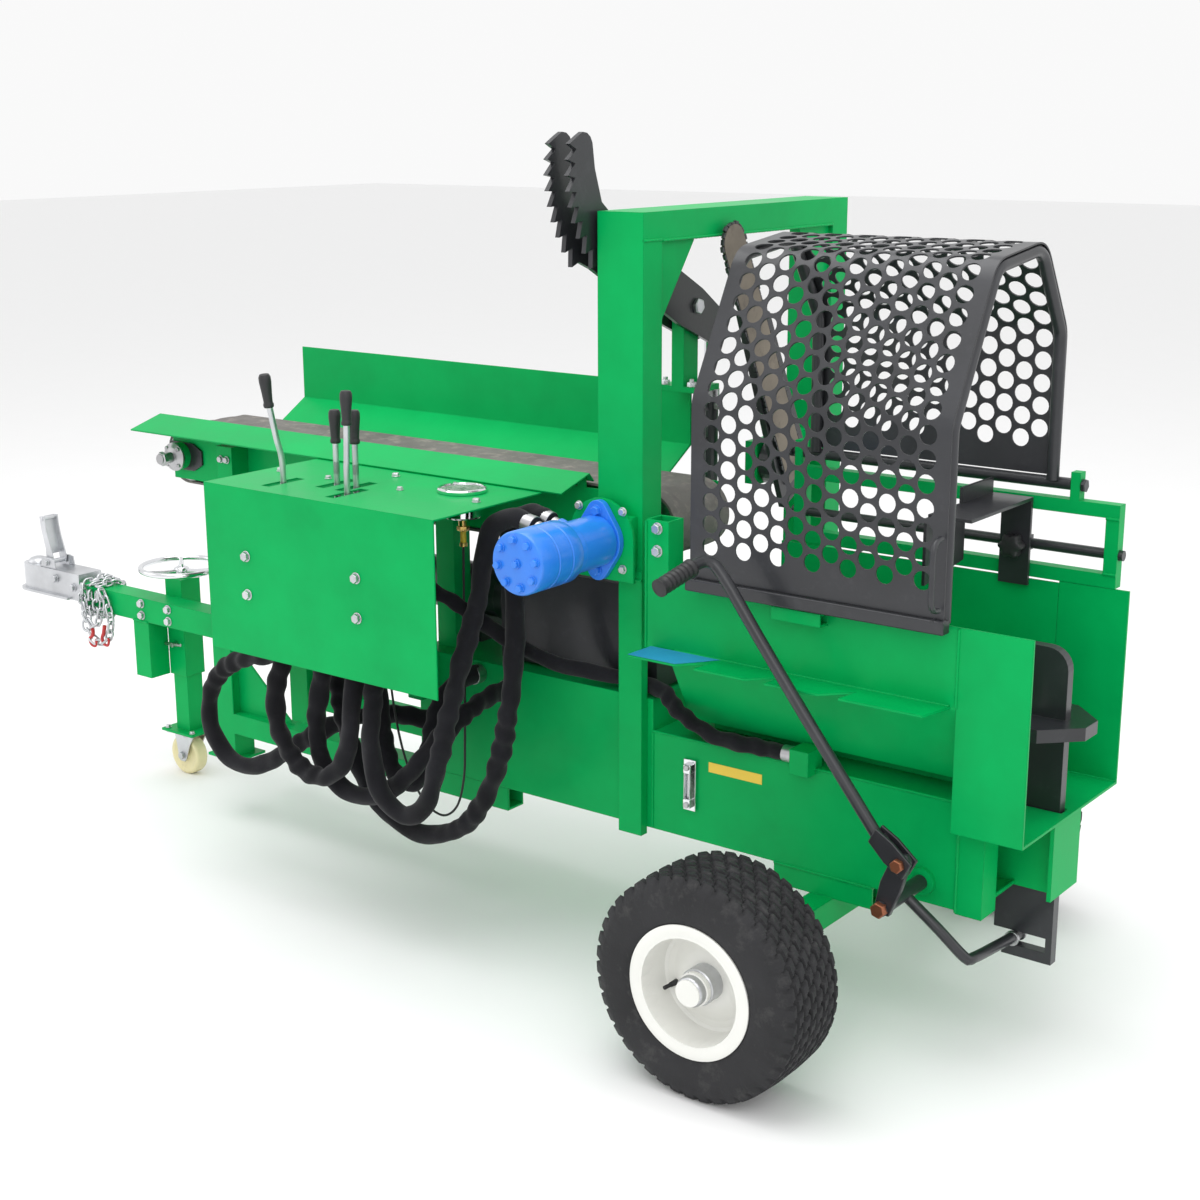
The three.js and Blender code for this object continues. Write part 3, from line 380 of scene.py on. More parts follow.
# ---------- hydraulic hoses in their sleeves ----------
PORT_X, PORT_Z, PORT_Y = -560.6, 882.2, (-240, -290)
HOSES = {
    "hose_cylinder_base": [(-1150, -340, 679.7), (-1151, -340, 630), (-1180, -338, 565),
        (-1250, -335, 522), (-1345, -332, 497), (-1425, -330, 452), (-1470, -330, 383),
        (-1468, -330, 308), (-1418, -330, 254), (-1340, -330, 248), (-1255, -326, 290),
        (-1175, -315, 345), (-1090, -285, 392), (-1010, -240, 410), (-935, -196, 402),
        (-890, -150.6, 395)],
    "hose_cylinder_rod": [(-1020, -400, 679.7), (-1022, -400, 620), (-1042, -400, 520),
        (-1062, -400, 420), (-1046, -400, 340), (-985, -398, 292), (-895, -396, 300),
        (-815, -388, 362), (-760, -352, 440), (-738, -290, 484), (-738, -220, 497),
        (-742, -150.6, 498)],
    "hose_motor_feed": [(-1085, -330, 679.7), (-1083, -330, 600), (-1065, -330, 480),
        (-1032, -330, 360), (-970, -330, 262), (-885, -330, 214), (-795, -330, 218),
        (-705, -330, 272), (-640, -330, 380), (-612, -322, 500), (-612, -300, 610),
        (-632, -270, 720), (-662, -250, 800), (-658, -242, 866), (-612, -240, 894),
        (PORT_X - 1, PORT_Y[0], PORT_Z + 0.4)],
    "hose_motor_return": [(-880, -400, 679.7), (-880, -402, 620), (-878, -418, 520),
        (-872, -436, 420), (-845, -440, 332), (-783, -440, 296), (-728, -438, 330),
        (-700, -428, 420), (-692, -400, 520), (-690, -360, 620), (-684, -322, 720),
        (-684, -300, 800), (-668, -292, 866), (-616, -290, 893),
        (PORT_X - 1, PORT_Y[1], PORT_Z + 0.4)],
    "hose_tank_return": [(-844.7, -340, 740), (-800, -338, 738), (-740, -310, 704),
        (-670, -258, 640), (-600, -198, 588), (-535, -152, 568), (-470, -131, 562),
        (-425, -131, 560), (-370, -138, 553), (-315, -163, 530), (-250, -166, 503),
        (-195, -162, 494), (-130, -154, 493), (-61, -153, 493)],
    "hose_clamp": [(-950, -330, 679.7), (-950, -330, 600), (-947, -332, 500), (-935, -335, 400),
        (-905, -338, 335), (-862, -336, 318), (-828, -326, 360), (-820, -308, 440),
        (-823, -262, 498), (-828, -205, 512), (-830, -150.3, 512)],
    "hose_saw": [(-1110, -400, 679.7), (-1112, -402, 620), (-1122, -425, 560), (-1132, -445, 480),
        (-1118, -448, 400), (-1070, -448, 345), (-1005, -446, 330), (-950, -444, 365),
        (-925, -440, 440), (-926, -425, 530), (-925, -395, 610), (-925, -375, 679.7)],
}
GAUGE_LINE = [(-790, -238, 803.8), (-790, -240, 700), (-789, -243, 600), (-788, -246, 500),
    (-787, -250, 400), (-790, -252, 320), (-808, -254, 255), (-845, -256, 225), (-890, -258, 240),
    (-925, -262, 290), (-945, -270, 360), (-955, -280, 450), (-960, -288, 560),
    (-960, -296, 679.7)]
HOSE_RADIUS, SLIM_RADIUS, LINE_RADIUS = 19.0, 15.0, 2.5


def thickness(name):
    """The radius of a hose in its sleeve."""
    return SLIM_RADIUS if name == "hose_tank_return" else HOSE_RADIUS


def sleeve_radius(count, seed, thick):
    """Loose fabric pushed into soft folds: rings that lean, bunch up and fade along the hose."""
    chance = random.Random(seed)
    phase = [chance.uniform(0, 6.28) for _ in range(6)]

    def radius(i, angle):
        bunch = 0.5 + 0.5 * math.sin(i * 0.045 + phase[0])
        lean = math.cos(angle + phase[1]) * 1.4
        fold = math.sin(i * 0.7 + lean + 1.6 * math.sin(i * 0.13 + phase[2]))
        twist = math.sin(angle * 2 + i * 0.16 + phase[3])
        crease = math.sin(angle * 3 - i * 0.31 + phase[4])
        ends = min(1.0, i / 4, (count - 1 - i) / 4)
        return thick * (1 + ends * (0.12 * bunch * fold + 0.06 * twist + 0.04 * crease))

    return radius


def make_hoses():
    """Every hose as a folded sleeve along its route."""
    for seed, (name, route) in enumerate(HOSES.items()):
        path = smooth_path(route, 5.0)
        thick = thickness(name)
        shape = tube(path, sleeve_radius(len(path), seed, thick), 24)
        made = piece(name + "_sleeve", [shape], SLEEVE, replaces=name if name in NODES else None,
                     angle=80)


def make_gauge_line():
    """The thin plastic line that hangs from the pressure gauge."""
    path = smooth_path(GAUGE_LINE, 6.0)
    made = piece("gauge_line", [tube(path, LINE_RADIUS, 12)], PLASTIC, angle=80)


make_hoses()
make_gauge_line()

# ---------- wheels ----------
WHEEL_Y = 506
TREAD_HALF, LUG, ROW = 78.0, 7.0, 19.5
LUGS_ROUND, STEPS_PER_LUG, CROWN_STEPS = 42, 12, 54
WALL = [(102.6, 60), (103, 74), (112, 79), (121, 78), (124, 82), (138, 83.4), (158, 83.9),
        (176, 82.5), (188, 78), (195, 70)]


def clamped(value):
    return max(0.0, min(1.0, value))


def tread_lift(r, y, angle):
    """How far the tyre stands out there: a turf lug, or a faint ring on the side wall."""
    if r <= 175:
        return 0.5 * math.sin(r * 0.55) if r > 124 else 0.0
    row = (y + TREAD_HALF) / ROW
    wave = 0.16 * math.sin(row * 2 * math.pi)
    turn = (angle * LUGS_ROUND / (2 * math.pi) + 0.5 * (int(row) % 2) + wave) % 1
    gap, ditch = abs(turn - 0.5) * 2, abs(row % 1 - 0.5) * 2
    shoulder = 0.5 if r < 194 else 1.0
    return LUG * shoulder * clamped((0.8 - gap) / 0.14) * clamped((0.86 - ditch) / 0.16)


def tyre(name, side):
    """A turf tyre: rows of interlocking lugs round a rounded carcass."""
    crown = [(195 + 3.4 * math.sin(math.pi * k / CROWN_STEPS), 70 - 140 * k / CROWN_STEPS)
             for k in range(1, CROWN_STEPS)]
    profile = WALL + crown + [(r, -y) for r, y in reversed(WALL)]
    around = LUGS_ROUND * STEPS_PER_LUG
    points = []
    for base, y in profile:
        for j in range(around):
            angle = 2 * math.pi * j / around
            r = min(base + tread_lift(base, y, angle), WHEEL_R)
            points.append((r * math.cos(angle), side * WHEEL_Y + y, WHEEL_R + r * math.sin(angle)))
    piece(f"tyre_{name}_tread", [(points, grid_faces(len(profile), around, loop=True))], RUBBER,
          body=f"wheel_{name}", replaces=f"tyre_{name}", angle=60)


def rim_details(name, side):
    """A pressed dish, the dust cap and the valve."""
    axis = (0, side, 0)
    centre = (0, side * WHEEL_Y, WHEEL_R)
    dish = [(97.5, 74), (96, 30), (93, 18), (86, 13), (70, 14.6), (56, 22), (44, 24), (31, 24),
            (31, 12), (86, 8), (97.5, 16)]
    lip = [(97, 78), (103, 78.5), (112, 80), (119, 81), (121, 79.5), (121, 82.5), (118, 84),
           (110, 83), (101, 82.4), (97, 81)]
    hub = [(0, 24), (33, 24), (33, 54), (31, 56), (27.5, 56), (27.5, 76), (25.5, 80), (22, 82.5),
           (0, 83.4)]
    grease = [(0, side * (WHEEL_Y + out), WHEEL_R) for out in (83, 83.8)]
    valve_turn = math.radians(200)
    spoke = Vector((math.cos(valve_turn), 0, math.sin(valve_turn)))
    foot = spoke * 74 + Vector((0, side * (WHEEL_Y + 14), WHEEL_R))
    tip = foot + spoke * 6 + Vector((0, side * 30, 0))
    neck = foot.lerp(tip, 0.5)
    shapes = [(lathe(dish, centre, axis, 72, closed=True), WHITE),
              (lathe(lip, centre, axis, 72, closed=True), WHITE),
              (lathe(hub, centre, axis, 48), ZINC),
              (rod(*grease, 3.5, 12), STEEL),
              (rod(foot, neck, 5.5, 14, 4.6), PLASTIC),
              (rod(neck, tip, 3.6, 14), PLASTIC)]
    piece(f"rim_{name}_dish", shapes, WHITE, body=f"wheel_{name}", angle=40)


for wheel_name, wheel_side in (("near", -1), ("far", 1)):
    tyre(wheel_name, wheel_side)
    rim_details(wheel_name, wheel_side)


# ---------- guard: perforated sheet on a bent tube frame ----------
GUARD = {"x0": -254.0, "x1": 268.0, "sheet": 3.0, "hole": 16.6, "pitch": 41.0}
HINGE_Y, HINGE_Z = 207.0, 985.0
GUARD_LINE = [(-226, 819.3), (-226, 1145), (-88, 1402), (100, 1425), (207, 1262), (207, 998)]


def rounded_line(line, radius, step=7.0):
    """The line with its corners turned to arcs, as evenly spaced points."""
    known = [Vector((*p, 0)) for p in line]
    out = [known[0]]
    for p, corner, n in zip(known, known[1:], known[2:]):
        into = (p - corner).normalized()
        away = (n - corner).normalized()
        back = radius / math.tan(into.angle(away) / 2)
        start, end = corner + into * back, corner + away * back
        for i in range(9):
            t = i / 8
            out.append((1 - t) ** 2 * start + 2 * t * (1 - t) * corner + t * t * end)
    out.append(known[-1])
    dense = []
    for a, b in zip(out, out[1:]):
        steps = max(1, round((b - a).length / step))
        dense += [a.lerp(b, i / steps) for i in range(steps)]
    return dense + [out[-1]]


def along(line, lengths, s, lift):
    """The point at distance s along line, moved out from it by lift."""
    i = min(max(int(np.searchsorted(lengths, s)) - 1, 0), len(line) - 2)
    run = lengths[i + 1] - lengths[i]
    t = (s - lengths[i]) / run
    p = line[i].lerp(line[i + 1], t)
    before = (line[i + 1] - line[max(i - 1, 0)]).normalized()
    after = (line[min(i + 2, len(line) - 1)] - line[i]).normalized()
    way = before.lerp(after, t).normalized()
    return p.x - way.y * lift, p.y + way.x * lift


def guard_sheet():
    """The flat sheet cut round its holes, then folded over the frame and made thick."""
    line = rounded_line(GUARD_LINE, 60)
    lengths = [0.0]
    for a, b in zip(line, line[1:]):
        lengths.append(lengths[-1] + (b - a).length)
    total, x0, x1 = lengths[-1], GUARD["x0"] + 5, GUARD["x1"] - 5
    pitch, hole, sides = GUARD["pitch"], GUARD["hole"], 18
    side_rims, end_rims, rail_steps, side_step = 36, 50, 24, 9
    column = pitch * math.sqrt(3) / 2
    columns = int((x1 - x0 - 2 * hole - side_rims) / column) + 1
    margin = (x1 - x0 - (columns - 1) * column) / 2
    rows = int((total - 2 * hole - end_rims) / pitch)
    first = (total - (rows - 0.5) * pitch) / 2
    centres = [(x0 + margin + i * column, first + (j + 0.5 * (i % 2)) * pitch)
               for i in range(columns) for j in range(rows)]
    flat, edges = [], []

    def loop(points):
        start = len(flat)
        flat.extend(Vector(p) for p in points)
        count = len(points)
        edges.extend((start + k, start + (k + 1) % count) for k in range(count))

    steps = int(total / side_step)
    rail = [x0 + (x1 - x0) * i / rail_steps for i in range(rail_steps)]
    side = [total * i / steps for i in range(steps)]
    loop([(x, 0) for x in rail] + [(x1, s) for s in side]
         + [(x0 + x1 - x, total) for x in rail] + [(x0, total - s) for s in side])
    for cx, cs in centres:
        loop([(cx + hole * math.cos(2 * math.pi * k / sides),
               cs + hole * math.sin(2 * math.pi * k / sides)) for k in range(sides)])
    places, _, faces = geometry.delaunay_2d_cdt(flat, edges, [], 1, 1e-4)[:3]
    spots = np.array(centres)
    kept = []
    for face in faces:
        middle = sum((places[i] for i in face), Vector((0, 0))) / len(face)
        gaps = np.hypot(spots[:, 0] - middle.x, spots[:, 1] - middle.y)
        if gaps.min() > hole * 0.98:
            kept.append(face)
    count = len(places)
    points = []
    for lift in (0.0, GUARD["sheet"]):
        for p in places:
            y, z = along(line, lengths, p.y, lift)
            points.append((p.x, y, z))
    uses = {}
    for face in kept:
        for a, b in zip(face, face[1:] + face[:1]):
            uses[(a, b)] = uses.get((a, b), 0) + 1
    walls = [(b, a, a + count, b + count) for a, b in uses if (b, a) not in uses]
    outside = [tuple(face) for face in kept]
    inside = [tuple(i + count for i in reversed(face)) for face in kept]
    piece("guard_perforated", [(points, outside + inside + walls)], BLACK, body="guard",
          replaces="guard_sheet", angle=40)


def guard_frame():
    """Two bent side tubes, the hinge tube on its rod, the grip and the foot rail."""
    x0, x1 = GUARD["x0"], GUARD["x1"]
    path = rounded_line([(-213.5, 812), (-213.5, 1141), (-80, 1390), (94, 1411.5), (194.5, 1257),
                         (198, HINGE_Z + 6)], 52)
    shapes = [tube([(x, p.x, p.y) for p in path], 11.5, 18) for x in (x0 + 12, x1 - 12)]
    shapes.append(rod((x0 - 17, HINGE_Y, HINGE_Z), (x1 + 22, HINGE_Y, HINGE_Z), 11, 24))
    shapes.append(rod((-296, HINGE_Y, HINGE_Z), (313, HINGE_Y, HINGE_Z), 8.2, 20))
    for x, way in ((-297, -1), (311, 1)):
        shapes.append(hexagon((x, HINGE_Y, HINGE_Z), (way, 0, 0), 22, 7))
    grip = smooth_path([(258, -240, 838), (258, -258, 842), (258, -268, 858), (258, -268, 900),
                        (258, -268, 940), (258, -258, 957), (258, -240, 961)], 3)
    shapes.append(tube(grip, 5, 14))
    piece("guard_tubes", shapes, BLACK, body="guard", replaces="guard_frame", angle=40)
    rail = [box(x0, x1, -240, -215, 795, 819)]
    piece("guard_foot_rail", rail, BLACK, body="guard", bevel=3, segments=3)
    beads = [bead([(x, -228, 819), (x, -240, 817)], 3, seed=k) for k, x in
             enumerate((x0 + 3, x0 + 21, x1 - 21, x1 - 3))]
    piece("guard_welds", beads, BLACK, body="guard", angle=60)


guard_sheet()
guard_frame()


# ---------- feed motor ----------
MOTOR_X, MOTOR_Z = -480.0, 852.0


def feed_motor():
    """An orbit motor's stepped body on its flange, with a bolted end cover and two ports."""
    x, z = MOTOR_X, MOTOR_Z
    body = [(0, 206), (47, 206), (50, 209), (50, 300), (53, 303), (53, 318), (58, 322), (60, 325),
            (60, 352), (58.6, 353), (58.6, 355), (60, 356), (60, 392), (58.6, 393), (58.6, 395),
            (60, 396), (60, 440), (57.5, 444), (52, 445), (0, 445)]
    ear = arc(x, z, 54, -32, 32, 8) + arc(x, z + 54, 24, 30, 150, 10)
    ear += arc(x, z, 54, 148, 212, 8) + arc(x, z - 54, 24, 210, 330, 10)
    shapes = [lathe(body, (x, 0, z), NEAR, 72), prism("xz", ear, -206, -192.3)]
    shapes += [rod((x - 10, y, z + 4), (x - 66, y, z + 24.5), 20, 28, 18) for y in PORT_Y]
    piece("feed_motor_body", shapes, BLUE, replaces="feed_motor", bevel=1.6)
    heads = []
    for k in range(8):
        u, v = spot_on(x, z, 45, 45 * k + 10)
        heads += [rod((u, -445, v), (u, -447, v), 9.2, 20),
                  hexagon((u, -447, v), NEAR, 13, 6.5, turn=20 * k)]
    heads += [rod((x, -445, z), (x, -449, z), 9, 24), hexagon((x, -449, z), NEAR, 12, 5)]
    heads += bolt_rows([((x,), (-206,), (z + 58, z - 58), NEAR, 17)])
    piece("feed_motor_bolts", heads, BLUE, bevel=0.6)
    fittings = []
    for y in PORT_Y:
        start, end = Vector((x - 62, y, z + 23)), Vector((PORT_X + 1.5, y, PORT_Z - 0.5))
        fittings += [hexagon(start, end - start, 27, 11), rod(start, end, 14, 24)]
    piece("feed_motor_fittings", fittings, STEEL, bevel=0.8)


feed_motor()


# ---------- controls ----------
LEVERS = [(-1149, -380, 1140, -38), (-962, -385, 1118, 6), (-1050, -325, 1066, 0),
          (-996, -325, 1070, 0)]


def control_levers():
    """Bent rods in their lock nuts, with moulded grips."""
    foot_z = 801
    profile = [(0, 0), (9.5, 0), (10.5, 2), (10.8, 6), (9.6, 9), (9.2, 12), (10.4, 30),
               (12.4, 52), (12.2, 62), (9.5, 67.5), (0, 69)]
    for i, (x, y, top, lean) in enumerate(LEVERS, 1):
        start = Vector((x, y + lean * 0.78, top - 62))
        end = Vector((x, y + lean, top))
        way = (end - start).normalized()
        path = smooth_path([(x, y, foot_z), (x, y, 880), (x, y, 960),
                            (x, y + lean * 0.35, top - 130), start.lerp(end, 0.2)], 10)
        shapes = [(tube(path, 6.3, 18), ZINC), (hexagon((x, y, foot_z), UP, 17, 9), ZINC),
                  (lathe(profile, start - way * 6, way, 28), PLASTIC)]
        name = f"control_lever_{i}"
        piece(name + "_stick", shapes, ZINC, body=name, replaces=name, angle=40)


VALVE = (-1185, -845, -440, -285, 680, 800)


def valve_bank():
    """A stack of spool sections with end covers and caps."""
    x0, x1, y0, y1, z0, z1 = VALVE
    sections, end_plate, cap_z = 5, 22, z1 - 40
    width = (x1 - x0 - 2 * end_plate) / sections
    shapes = []
    for k in range(sections):
        a = x0 + end_plate + k * width
        mid = a + width / 2
        shapes += [box(a + 0.6, a + width - 0.6, y0 + 12, y1 - 12, z0 + 6, z1 - 10),
                   rod((mid, y0 + 14, cap_z), (mid, y0, cap_z), 20, 28),
                   rod((mid, y1 - 14, cap_z), (mid, y1, cap_z), 20, 28)]
    shapes += [box(x0, x0 + 21, y0 + 8, y1 - 8, z0 + 2, z1 - 6),
               box(x1 - 21, x1, y0 + 8, y1 - 8, z0 + 2, z1 - 6)]
    piece("valve_sections", shapes, BLACK, replaces="valve_bank", bevel=2)


def hose_unions():
    """The levers' bosses, the cover's stand-offs, nuts under the valves, collars on the hoses."""
    _, _, valve_y, _, ports, top = VALVE
    parts = [(rod((x, y, top - 12), (x, y, top - 3.5), 17, 28, 15), BLACK) for x, y, _, _ in LEVERS]
    for x in (-1168, -860):
        for z in (695, 775):
            parts.append((rod((x, -469, z), (x, valve_y + 6, z), 10, 20), ZINC))
            parts += [(shape, ZINC) for shape in bolt((x, -472, z), NEAR, 17)]
    for route in HOSES.values():
        start = Vector(route[0])
        way = (Vector(route[1]) - start).normalized()
        if start.z < ports + 20:
            parts.append((hexagon(start + way, -way, 27, 8), STEEL))
    for name, route in HOSES.items():
        thick = thickness(name)
        for end, inner in ((route[0], route[1]), (route[-1], route[-2])):
            way = (Vector(inner) - Vector(end)).normalized()
            collar = Vector(end) + way
            parts.append((rod(collar, collar + way * 24, thick + 1.2, 24, thick + 0.8), STEEL))
    piece("hose_unions", parts, STEEL, bevel=0.8)


def valve_stay():
    """The bracket that carries the valve bank on the beam."""
    x0, x1, beam_y = -990, -950, -150.3
    stay = [box(x0, x1, -286, beam_y, 660, 700), box(x0, x1, -200, beam_y, 440, 661)]
    piece("valve_stay", stay, GREEN, bevel=2.5)


def pressure_gauge():
    """A dial in a chromed bezel, with its scale, needle, glass, and the fitting underneath."""
    x, y, z = GAUGE_LINE[0][0], GAUGE_LINE[0][1], 915.3
    case = [(0, -52), (34, -52), (38, -48), (39.5, -10), (39.5, 0), (49, 0), (50, 1.5), (50, 7),
            (47.5, 9.5), (43, 9.8), (42, 8), (42, 2.5), (0, 2.5)]
    card = [(0, 2.5), (41.8, 2.5), (41.8, 3.1), (0, 3.1)]
    shapes = [(lathe(case, (x, y, z), UP, 64), CHROME), (lathe(card, (x, y, z), UP, 64), DIAL)]
    base = Vector((x, y, z + 3.1))
    for k in range(31):
        turn = math.radians(-45 + 9 * k)
        inner, half = (28, 0.8) if k % 5 == 0 else (32, 0.4)
        way = Vector((math.cos(turn), math.sin(turn), 0))
        side = Vector((-way.y, way.x, 0)) * half
        flat = [base + way * inner - side, base + way * 37 - side, base + way * 37 + side,
                base + way * inner + side]
        ring = flat + [p + Vector((0, 0, 0.4)) for p in flat]
        shapes.append(((ring, grid_faces(2, 4)), PLASTIC))
    needle = [(x - 6, y + 1.4), (x - 6, y - 1.4), (x + 26, y - 16.2), (x + 26, y - 15.4)]
    shapes.append((prism("xy", needle, z + 4.2, z + 5), PLASTIC))
    shapes.append((rod((x, y, z + 3), (x, y, z + 6), 3.2, 16), PLASTIC))
    for turn in (30, 150, 270):
        spot = spot_on(x, y, 45.6, turn)
        shapes.append((rod((*spot, z + 8), (*spot, z + 11), 2.6, 12), STEEL))
    piece("pressure_gauge_case", shapes, CHROME, replaces="pressure_gauge", angle=40)
    pane = [(0, 6.6), (42, 6.6), (42, 7.6), (0, 8.4)]
    piece("pressure_gauge_glass", [lathe(pane, (x, y, z), UP, 64)], GLASS)
    stem = [(rod((x, y, 863.5), (x, y, 846), 9, 20), BRASS),
            (hexagon((x, y, 846), (0, 0, -1), 22, 10), BRASS),
            (rod((x, y, 836), (x, y, 812), 6, 18), YELLOW),
            (rod((x, y, 812), (x, y, 804), 7.5, 18), BRASS)]
    piece("gauge_fitting", stem, BRASS, bevel=0.5)


control_levers()
valve_bank()
hose_unions()
valve_stay()
pressure_gauge()


# ---------- conveyor ----------
BELT_ENDS = (-1830.0, -480.0)
BELT_Z, BELT_R = 852.0, 65.3


def conveyor_belt():
    """A worn rubber loop with shallow chevron ribs."""
    run = BELT_ENDS[1] - BELT_ENDS[0]
    loop = run * 2 + 2 * math.pi * BELT_R

    def place(s, lift):
        s %= loop
        r = BELT_R + lift
        if s < run:
            return BELT_ENDS[0] + s, BELT_Z + r
        s -= run
        if s < math.pi * BELT_R:
            turn = math.pi / 2 - s / BELT_R
            return BELT_ENDS[1] + r * math.cos(turn), BELT_Z + r * math.sin(turn)
        s -= math.pi * BELT_R
        if s < run:
            return BELT_ENDS[1] - s, BELT_Z - r
        turn = -math.pi / 2 - (s - run) / BELT_R
        return BELT_ENDS[0] + r * math.cos(turn), BELT_Z + r * math.sin(turn)

    steps, ribs = 460, 52
    x_side, width, lanes = -45, 190, 12
    sides = [(x_side, 0), (x_side + width, 0), (x_side + width, 5.2)]
    sides += [(x_side + width - width * k / lanes, 5.6) for k in range(1, lanes)] + [(x_side, 5.2)]
    points = []
    for i in range(steps):
        s = loop * i / steps
        for y, lift in sides:
            skew = abs(y - 50) * 0.35
            rib = max(0.0, math.cos(2 * math.pi * (s + skew) / (loop / ribs))) ** 6
            x, z = place(s, lift + (1.6 * rib - 1.0 if lift > 5.3 else 0.0))
            points.append((x, y, z))
    faces = [(a, d, c, b) for a, b, c, d in grid_faces(steps, len(sides), loop=True)]
    piece("conveyor_belt_ribbed", [(points, faces)], BELT, replaces="conveyor_belt", angle=50)


def bearing(x, y, z, size):
    """A flanged bearing with its collar and screws, facing the near side."""
    shapes = [lathe([(0, 0), (size, 0), (size, 5), (size * 0.72, 10), (size * 0.55, 14), (0, 14)],
                    (x, y, z), NEAR, 40)]
    for k in range(4):
        u, v = spot_on(x, z, size * 0.8, 45 + 90 * k)
        shapes.append(hexagon((u, y - 5.5, v), NEAR, 10, 6))
    return shapes


def conveyor_details():
    """The idler's bearing, shaft and slide plate, and the side plates' bolts."""
    x = BELT_ENDS[0]
    shapes = bearing(x, -85.5, BELT_Z, 34)
    shapes += [rod((x, -85, BELT_Z), (x, -134, BELT_Z), 12.3, 24),
               hexagon((x, -119, BELT_Z), NEAR, 30, 12)]
    piece("idler_bearing", shapes, STEEL, bevel=0.8)
    bolts = bolt_rows([((-1700, -1250, -1040, -560), (155,), (828, 888), FAR, 13),
                       ((-1640, -1620), (-111,), (870,), NEAR, 13)])
    piece("conveyor_bolts", bolts, ZINC, bevel=0.5)
    plate = [(-1872, 818), (-1790, 818), (-1760, 835), (-1760, 868), (-1790, 884), (-1872, 884)]
    piece("idler_slide_plate", [prism("xz", plate, -66, -60.4)], BLACK, bevel=1)


conveyor_belt()
conveyor_details()


# ---------- bolts, welds and the blank label on the fixed steelwork ----------
def fixed_bolts():
    """Bolts on the plates, the cover, the tongue, the hitch and the beam, and four studs."""
    rows = [((-340,), (-203,), (850, 893), NEAR, 17),
            ((MOTOR_X - 52, MOTOR_X + 52), (-192,), (800, 912), NEAR, 13),
            ((-1240, -700), (-300,), (915,), UP, 13),
            ((-1005,), (-200,), (915,), UP, 13),
            ((-1100, -900), (-300,), (915,), UP, 11),
            ((-2005, -1905), (-75,), (431, 461), NEAR, 17),
            ((-2335,), (-81.3,), (478,), NEAR, 17),
            ((-2265,), (-81.3,), (464,), NEAR, 17),
            ((-1632,), (-150,), (440,), NEAR, 15)]
    shapes = bolt_rows(rows)
    for y in (160, 210):
        for x in (-580, -515):
            shapes += [hexagon((x, y, 1100), UP, 17, 10), rod((x, y, 1100), (x, y, 1116), 5, 12)]
    piece("fixed_bolts", shapes, ZINC, bevel=0.5)


def fixed_welds():
    """Beads where the fixed plates and tubes meet."""
    runs = [[(-455, -170.3, 777), (-400, -170.3, 777)], [(-386.2, -150.4, 275), (-386.2, -150.4, 472)],
            [(-386, -150, 474), (269, -150, 474)], [(271, -150.4, 268), (271, -150.4, 434)],
            [(321, -93.5, 297), (321, -20, 297)], [(321, 20, 297), (321, 92, 297)],
            [(-399.6, -108, 1412), (-399.6, 510, 1412)], [(-399.6, -168, 1414), (-399.6, -110, 1414)],
            [(279.8, -203, 662), (279.8, -203, 802)], [(279.8, -197, 662), (279.8, -122, 512)],
            [(281, -198, 442), (413, -198, 442)], [(281, 198, 442), (413, 198, 442)],
            [(-1600, -150.3, 272), (-1600, -150.3, 418)], [(-74, -203.4, 768), (27, -203.4, 768)],
            [(-366, -203.4, 660), (-366, -203.4, 905)], [(-2040, -75.2, 415), (-1986, -75.2, 415)],
            [(-105, -150.3, 271), (105, -150.3, 271)], [(-300, -203.6, 664), (268, -203.6, 664)],
            [(362, 197.3, 830), (387, 197.3, 830)], [(362, 197.3, 932), (387, 197.3, 932)],
            [(-990, -150.2, 700), (-990, -150.2, 445)], [(-1983, -14.9, 419), (-1983, -14.9, 473)]]
    shapes = [bead(run, 2.9, seed=k) for k, run in enumerate(runs)]
    piece("fixed_welds", shapes, GREEN, angle=70)


def label():
    """The one sticker that is kept, as a blank strip."""
    piece("blank_label", [box(-255, -135, -150.9, -150.2, 418, 438)], YELLOW, bevel=0.2)


def level_gauge():
    """A glass tube between two caps in a pressed frame."""
    x, face = -295, -150.3
    frame_outline = [(x - 14, 332), (x + 14, 332), (x + 14, 436), (x - 14, 436)]
    shapes = [(prism("xz", frame_outline, face - 7, face), CHROME)]
    for x0, x1, out, z0, z1 in ((x - 7.5, x - 5, 16, 352, 416), (x + 5, x + 7.5, 16, 352, 416),
                                (x - 8, x + 8, 17, 410, 428), (x - 8, x + 8, 17, 340, 358)):
        shapes.append((box(x0, x1, face - out, face - 6, z0, z1), CHROME))
    shapes.append((rod((x, face - 8, 358), (x, face - 8, 410), 4, 18), GLASS))
    for z in (346, 422):
        shapes.append((rod((x, face - 17, z), (x, face - 20, z), 6, 20), STEEL))
    piece("level_gauge_frame", shapes, CHROME, replaces="level_gauge", bevel=1)


def gate_fin():
    """The one fin of the lever gate that still shows its blue undercoat."""
    fin = [(-352, -206), (-355, -276.5), (-249, -276.5), (-214, -232), (-196, -206)]
    piece("gate_fin_blue", [prism("xy", fin, 664.3, 665.0)], BLUE_GATE)


fixed_bolts()
fixed_welds()
label()
level_gauge()
gate_fin()


# ---------- lift lever ----------
LEVER_X, LEVER_Y, LEVER_Z, PIN_Z = 205, -296, 312, 183


